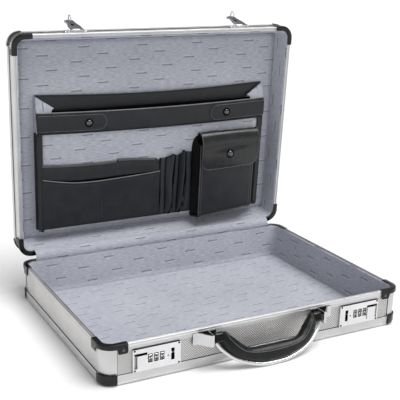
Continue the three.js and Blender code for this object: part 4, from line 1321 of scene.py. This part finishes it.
def dial(name, node, glyphs):
    """A knurled wheel with its painted digits, and near-black bars in the grooves between them as painted
    shade.
    """
    low, high = box_mm(node)
    centre, half, radius = (low + high) / 2, (high.x - low.x) / 2, (high.z - low.z) / 2

    def spot(x, distance, angle):
        """A point of the wheel, from its distance to the axis and its angle up from the front."""
        return (centre.x + x, centre.y - distance * math.cos(angle), centre.z + distance * math.sin(angle))

    rows = []
    for angle in turns(80):
        notch = abs((angle / DIGIT_STEP) % 1 - 0.5) * 2
        r = radius - 0.9 * max(1 - notch / 0.3, 0) ** 0.5
        side = [(0, 1.5), (0, r - 1.4), (0.25, r - 0.5), (0.8, r)]
        left = [spot(x - half, d, angle) for x, d in side]
        rows.append(left + [spot(half - x, d, angle) for x, d in side[::-1]])
    net = grid(rows, around=True, closed=True)
    piece("dial_wheel_" + name, **net, look=DIAL_METAL, body="dial_" + name, slot="dial_metal", sharp=28,
          replaces=[node])
    verts, faces = [], []
    for value, (points, polygons) in enumerate(glyphs):
        base = len(verts)
        verts += [spot(x, radius + 0.03, y / radius + DIGIT_STEP * value) for x, y in points]
        faces += [tuple(base + k for k in face) for face in polygons]
    piece("dial_numbers_" + name, verts, faces, PAINT, "dial_" + name, "dial_metal")
    # Near-black bars in the notches: painted shade.
    bars = []
    for value in range(10):
        ends = [spot(x, radius - 0.62, DIGIT_STEP * (value + 0.5)) for x in (0.35 - half, half - 0.35)]
        bars.append(tube(ends, 0.6, 8))
    piece("dial_groove_shade_" + name, **merged(*bars), look=PAINT, body="dial_" + name, slot="dial_metal")


def lock_screws(side, low, high):
    """Cross-headed screws in the plate's corners. Near-black rings round their heads and crosses in their
    slots are painted shade.
    """
    from_middle = 29.9
    heads, dark = [], []
    for dx in (-from_middle, from_middle):
        for z in (low.z + 1.6, high.z - 1.8):
            centre = Vector(((low.x + high.x) / 2 + dx, low.y, z))
            dark.append(ring(centre + OUTWARD * 0.05, OUTWARD, 1.15, 0.2, 18, 6))
            heads.append(dome(centre - OUTWARD * 0.15, OUTWARD, 1.1, 0.4, 18))
            for slot in (Vector((0.6, 0, 0.6)), Vector((0.6, 0, -0.6))):
                top = centre + OUTWARD * 0.28
                dark.append(tube([top - slot, top + slot], 0.2, 6))
    piece(f"lock_screws_{side}", **merged(*heads), look=GUNMETAL, body="base", slot="lock_metal")
    piece(f"lock_screw_well_shade_{side}", **merged(*dark), look=DARK, body="base", slot="lock_metal")


def lock_case(side, near, far, middle):
    """A thin tray behind the plate, from near to far along the wall."""
    back, low, high, half_way = 1.65 - HALF_DEPTH, 17.5, 40.2, 29
    outline = fillet([(near, low), (far, low), (far, high), (near, high)], 1.2, 2)
    rows = []
    for depth, shrink in ((0.0, 0.0), (8.0, 0.0), (8.4, 0.4)):
        rows.append([
            (x + math.copysign(shrink, middle - x), back + depth, z + math.copysign(shrink, half_way - z))
            for x, z in outline
        ])
    net = grid(rows, around=True)
    floor = tuple(range(2 * len(outline), 3 * len(outline)))
    net["faces"].append(floor)
    net["uvs"].append(tuple((0.0, 0.0) for _ in floor))
    piece(f"lock_case_{side}", **net, look=DARK, body="base", slot="lock_metal", thick=0.4, side=1)


def locks():
    glyphs = digits()
    for side, sign in (("left", -1), ("right", 1)):
        for number in (1, 2, 3):
            dial(f"{side}_{number}", f"lock_dial_{side}_{number}", glyphs)
        low, high = box_mm(f"lock_plate_{side}")
        front = low.y
        lock_screws(side, low, high)
        reset = Vector((sign * RESET_X, front - 0.02, RESET_Z))
        nets = [ring(reset, OUTWARD, 0.9, 0.2, 14, 6), dome(reset - OUTWARD * 0.1, OUTWARD, 0.75, 0.12, 12)]
        piece(f"lock_reset_{side}", **merged(*nets), look=DARK, body="base", slot="lock_metal")
        # Near-black strips over the plate and over its sliding button: painted shade of the gaps there.
        line = tube([(x, front + 0.35, high.z + 0.35) for x in (low.x + 1.0, high.x - 1.0)], 0.55, 6)
        near, far = sorted((sign * BUTTON_NEAR, sign * BUTTON_FAR))
        top, end = BUTTON_TOP, BUTTON_TOP + 2.2
        outline = fillet([(near, top), (far, top), (far, end), (near, end)], 0.4, 2)
        over_button = slab(outline, 1, front - 0.25, front + 0.5, 0.1)
        piece(f"lock_gap_shade_{side}", **merged(line, over_button), look=DARK, body="base", slot="lock_metal")
        near, far = sorted((sign * CASE_NEAR, sign * CASE_FAR))
        lock_case(side, near, far, (low.x + high.x) / 2)


# ---- The hasps ----
HASP_PIN = Vector((0, -HALF_DEPTH - 3.8, BASE_HEIGHT + RIM_GAP + 3.5))


def slab(outline, axis, start, end, eased=0.35):
    """An outline given some depth along an axis, 0 for x or 1 for y, with eased edges."""
    middle = Vector((sum(p[0] for p in outline), sum(p[1] for p in outline))) / len(outline)
    ease = math.copysign(eased, end - start)
    rows = []
    for depth, shrink in ((start, eased), (start + ease, 0), (end - ease, 0), (end, eased)):
        points = (Vector(p) + (middle - Vector(p)).normalized() * shrink for p in outline)
        rows.append([(q.x, depth, q.y) if axis == 1 else (depth, q.x, q.y) for q in points])
    return grid(rows, around=True, ends=True)


def hasp_foot(side, shift):
    """The riveted plate on the lid's rim, with two ears and the pin between them."""
    wall, rim = -HALF_DEPTH, BASE_HEIGHT + RIM_GAP
    stud_x, inner_ear, outer_ear = 15.2, 10.4, 12.6
    outline = fillet([(-19, rim + 1.6), (19, rim + 1.6), (19, rim + 12.5), (11, rim + 19), (-11, rim + 19),
                      (-19, rim + 12.5)], [2.5, 2.5, 3, 3, 3, 3], 4)
    nets = [slab(outline, 1, wall - 0.05, wall - 1.5)]
    y, z = HASP_PIN.y, HASP_PIN.z
    ear = fillet([(wall - 1.0, z - 2.1), (y - 1.9, z - 2.1), (y - 1.9, z + 2.1), (wall - 1.0, z + 2.4)],
                 [0.2, 1.8, 1.8, 0.2], 5)
    for sign in (-1, 1):
        nets.append(slab(ear, 0, sign * inner_ear, sign * outer_ear))
        nets.append(dome(Vector((sign * 12.5, y, z)), Vector((sign, 0, 0)), 1.35, 0.6, 14))
    nets.append(tube([(-12, y, z), (12, y, z)], 0.9, 14))
    studs = [dome(Vector((x, wall - 1.4, rim + 8.5)), OUTWARD, 2.9, 1.5, 20) for x in (-stud_x, stud_x)]
    # Near-black rings round the studs: painted shade of the gaps.
    gaps = [ring(Vector((x, wall - 1.5, rim + 8.5)), OUTWARD, 3.0, 0.3, 20, 6) for x in (-stud_x, stud_x)]
    more = {"body": "lid", "slot": "chromed_steel", "place": SHUT @ shift}
    piece(f"hasp_foot_{side}", **merged(*nets), look=CHROME, replaces=[f"hasp_plate_{side}"], **more)
    piece(f"hasp_studs_{side}", **merged(*studs), look=CHROME, **more)
    piece(f"hasp_stud_gap_shade_{side}", **merged(*gaps), look=DARK, **more)


def hasp_leaf(side, place):
    """The swinging leaf: a near-black patch as the painted shade of a slot, the eye for the lock's bolt, a
    barrel and a lip to lift it by.
    """
    wall, front = -HALF_DEPTH, -HALF_DEPTH - 3.5
    tip, top, round_tip = HASP_PIN.z - 36, HASP_PIN.z - 1.5, 5
    heights = [tip + round_tip * (1 - math.cos(math.pi / 2 * k / 7)) for k in range(7)]
    rows = []
    for z in heights + evenly(tip + round_tip, top, 12):
        near = max(tip + round_tip - z, 0.0)
        half = 6.4 + 3.2 * clamped((z - tip - 8) / 17) ** 1.3
        half += math.sqrt(max(round_tip**2 - near**2, 0.0)) - round_tip
        rows.append([(half * u, front + 0.75 - 0.8 * (1 - u * u) * min((z - tip) / 6, 1), z)
                     for u in evenly(-1, 1, 10)])
    more = {"body": f"hasp_{side}", "slot": "chromed_steel", "place": place}
    piece(f"hasp_leaf_{side}", **grid(rows), look=SHADED_HASP_METAL, thick=1.4, side=0, bevel=0.3, sharp=45,
          replaces=[f"hasp_flap_{side}"], **more)
    # A near-black patch on both faces where a slot would be: painted shade.
    window = fillet([(-2.3, tip + 14), (2.3, tip + 14), (2.3, tip + 21), (-2.3, tip + 21)], [2, 2, 2, 2], 5)
    piece(f"hasp_slot_shade_{side}", **slab(window, 1, front + 0.75, front - 0.85, 0.1), look=DARK, **more)

    back, face = wall + 6.1, front + 0.9
    loop = fillet([(back, tip + 1.0), (back, tip + 10.6), (face, tip + 10.6), (face, tip + 1.0)],
                  [2.6, 3.4, 1.2, 1.2], 6)
    eye = tube([(0.2 if side == "right" else -0.2, y, z) for y, z in loop], 0.9, 10, closed=True)
    barrel = []
    for x, r in ((-10, 1.2), (-9.9, 1.6), (-9.6, 1.9), (9.6, 1.9), (9.9, 1.6), (10, 1.2)):
        barrel.append([(x, HASP_PIN.y + r * math.cos(a), HASP_PIN.z + r * math.sin(a)) for a in turns(24)])
    corners = [(-6.6, face), (6.6, face), (5.4, front - 3.0), (-5.4, front - 3.0)]
    outline = fillet(corners, [0.3, 0.3, 1.6, 1.6], 4)
    lip = [[(x, y, z) for x, y in outline] for z in (tip + 0.1, tip + 1.3)]
    nets = [eye, grid(barrel, around=True, ends=True), grid(lip, around=True, ends=True)]
    piece(f"hasp_fittings_{side}", **merged(*nets), look=CHROME, sharp=50, **more)


def hasps():
    fold = math.radians(joint("hasp_left_fold")["range_deg"][1])
    flipped = Matrix.Translation(HASP_PIN) @ Matrix.Rotation(-fold, 4, "X") @ Matrix.Translation(-HASP_PIN)
    for side in ("left", "right"):
        low, high = box_mm(f"hasp_plate_{side}")
        shift = Matrix.Translation(((low.x + high.x) / 2, 0, 0))
        hasp_foot(side, shift)
        hasp_leaf(side, SHUT @ flipped @ shift)


# ---- Camera, light and floor ----
def photo_camera():
    """The camera that a fit to the photo gave."""
    camera = bpy.data.objects.new("camera", bpy.data.cameras.new("camera"))
    bpy.context.scene.collection.objects.link(camera)
    bpy.context.scene.camera = camera
    spot = Vector((-0.55743, -1.02064, 0.50705))
    yaw, pitch, roll = (math.radians(a) for a in (28.244, -19.741, 1.223))
    forward = Vector((math.sin(yaw) * math.cos(pitch), math.cos(yaw) * math.cos(pitch), math.sin(pitch)))
    right = Vector((math.cos(yaw), -math.sin(yaw), 0))
    up = right.cross(forward)
    across = right * math.cos(roll) + up * math.sin(roll)
    upward = up * math.cos(roll) - right * math.sin(roll)
    turn = Matrix((across, upward, -forward)).transposed()
    camera.matrix_world = Matrix.Translation(spot) @ turn.to_4x4()
    camera.data.lens, camera.data.sensor_width = 77.36, 36
    camera.data.shift_x, camera.data.shift_y = -0.001, 0.1266
    camera.data.clip_end = 50


def sky():
    """Grey surroundings, bright below, with a paler backdrop behind the case, low down."""
    world = bpy.data.worlds.new("studio")
    bpy.context.scene.world = world
    world.use_nodes = True
    nodes = Nodes(world.node_tree)
    background = world.node_tree.nodes["Background"]
    coords = nodes.node("ShaderNodeTexCoord").outputs["Generated"]
    axes = nodes.node("ShaderNodeSeparateXYZ", {0: coords}).outputs
    shades = nodes.node("ShaderNodeValToRGB", {0: axes["Z"]})
    nodes.put(background.inputs["Color"], shades.outputs[0])
    shades.color_ramp.elements.new(0.5)
    levels = ((0.05, 0.93), (0.22, 0.42), (0.80, 0.26))
    for element, (position, level) in zip(shades.color_ramp.elements, levels):
        element.position = position
        element.color = (level, level, level * 1.01, 1)
    backward = nodes.math("SUBTRACT", axes["Y"], 0.25, use_clamp=True)
    behind = nodes.math("SMOOTH_MAX", backward, 0.0, 0.1, use_clamp=True)
    height = nodes.math("MULTIPLY", axes["Z"], 2.0, use_clamp=True)
    low = nodes.math("SUBTRACT", 1.3, height, use_clamp=True)
    lift = nodes.math("MULTIPLY", behind, low, use_clamp=True)
    nodes.put(background.inputs["Strength"], nodes.math("MULTIPLY_ADD", lift, 1.1, 1.0))


def lamps():
    for name, energy, spread_deg, direction in (
        ("key", 2.85, 45, (-0.30, 0.27, -0.95)), ("fill", 0.15, 60, (0.7, 0.6, -0.35)),
    ):
        light = bpy.data.lights.new(name, "SUN")
        light.energy, light.angle = energy, math.radians(spread_deg)
        lamp = bpy.data.objects.new(name, light)
        lamp.rotation_euler = Vector(direction).to_track_quat("-Z", "Y").to_euler()
        bpy.context.scene.collection.objects.link(lamp)


def paper_floor():
    paper = Look("floor_paper", (0.93, 0.93, 0.93), 0.9)
    paper.bump(paper.noise(paper.place(), 400, 2), 0.05)
    mesh = bpy.data.meshes.new("floor")
    side, below = 14, 0.0006
    corners = [(-side, -side, 0), (side, -side, 0), (side, side, 0), (-side, side, 0)]
    mesh.from_pydata(corners, [], [(0, 1, 2, 3)])
    mesh.materials.append(paper.material)
    floor = bpy.data.objects.new("floor", mesh)
    bpy.context.scene.collection.objects.link(floor)
    floor.location.z = -below


# ---- CAD nodes that stay ----
STAYING = {
    FRONT_SHEET: ("base_front_panel", "base_back_panel"),
    SIDE_SHEET: ("base_left_panel", "base_right_panel"),
    STEEL: ("hinge_base_leaf", "hinge_lid_leaf", "hinge_pin"),
    LOCK_METAL: ("lock_plate_left", "lock_plate_right", "lock_slider_left", "lock_slider_right"),
    CHROME: ("handle_bracket_left", "handle_bracket_right"),
}


def dress_frame():
    """Looks and eased edges for the CAD nodes that are shown as they are."""
    for look, nodes in STAYING.items():
        for name in nodes:
            node = frame["nodes"].get(name)
            if node is None:
                continue
            node.data.materials.clear()
            node.data.materials.append(look.material)
            weld = node.modifiers.new("weld", "WELD")
            weld.merge_threshold = 1e-6
            rounding = node.modifiers.new("rounding", "BEVEL")
            rounding.width, rounding.segments, rounding.angle_limit = 0.35 * MM, 2, math.radians(40)


photo_camera()
sky()
lamps()
paper_floor()
bpy.context.scene.view_settings.view_transform = "Standard"
shells()
file_pocket()
pocket_binding()
closing_straps()
card_pockets()
pen_loops()
phone_pouch()
phone_flap()
hinge_strip()
handle()
bracket_hollows()
locks()
hasps()
dress_frame()
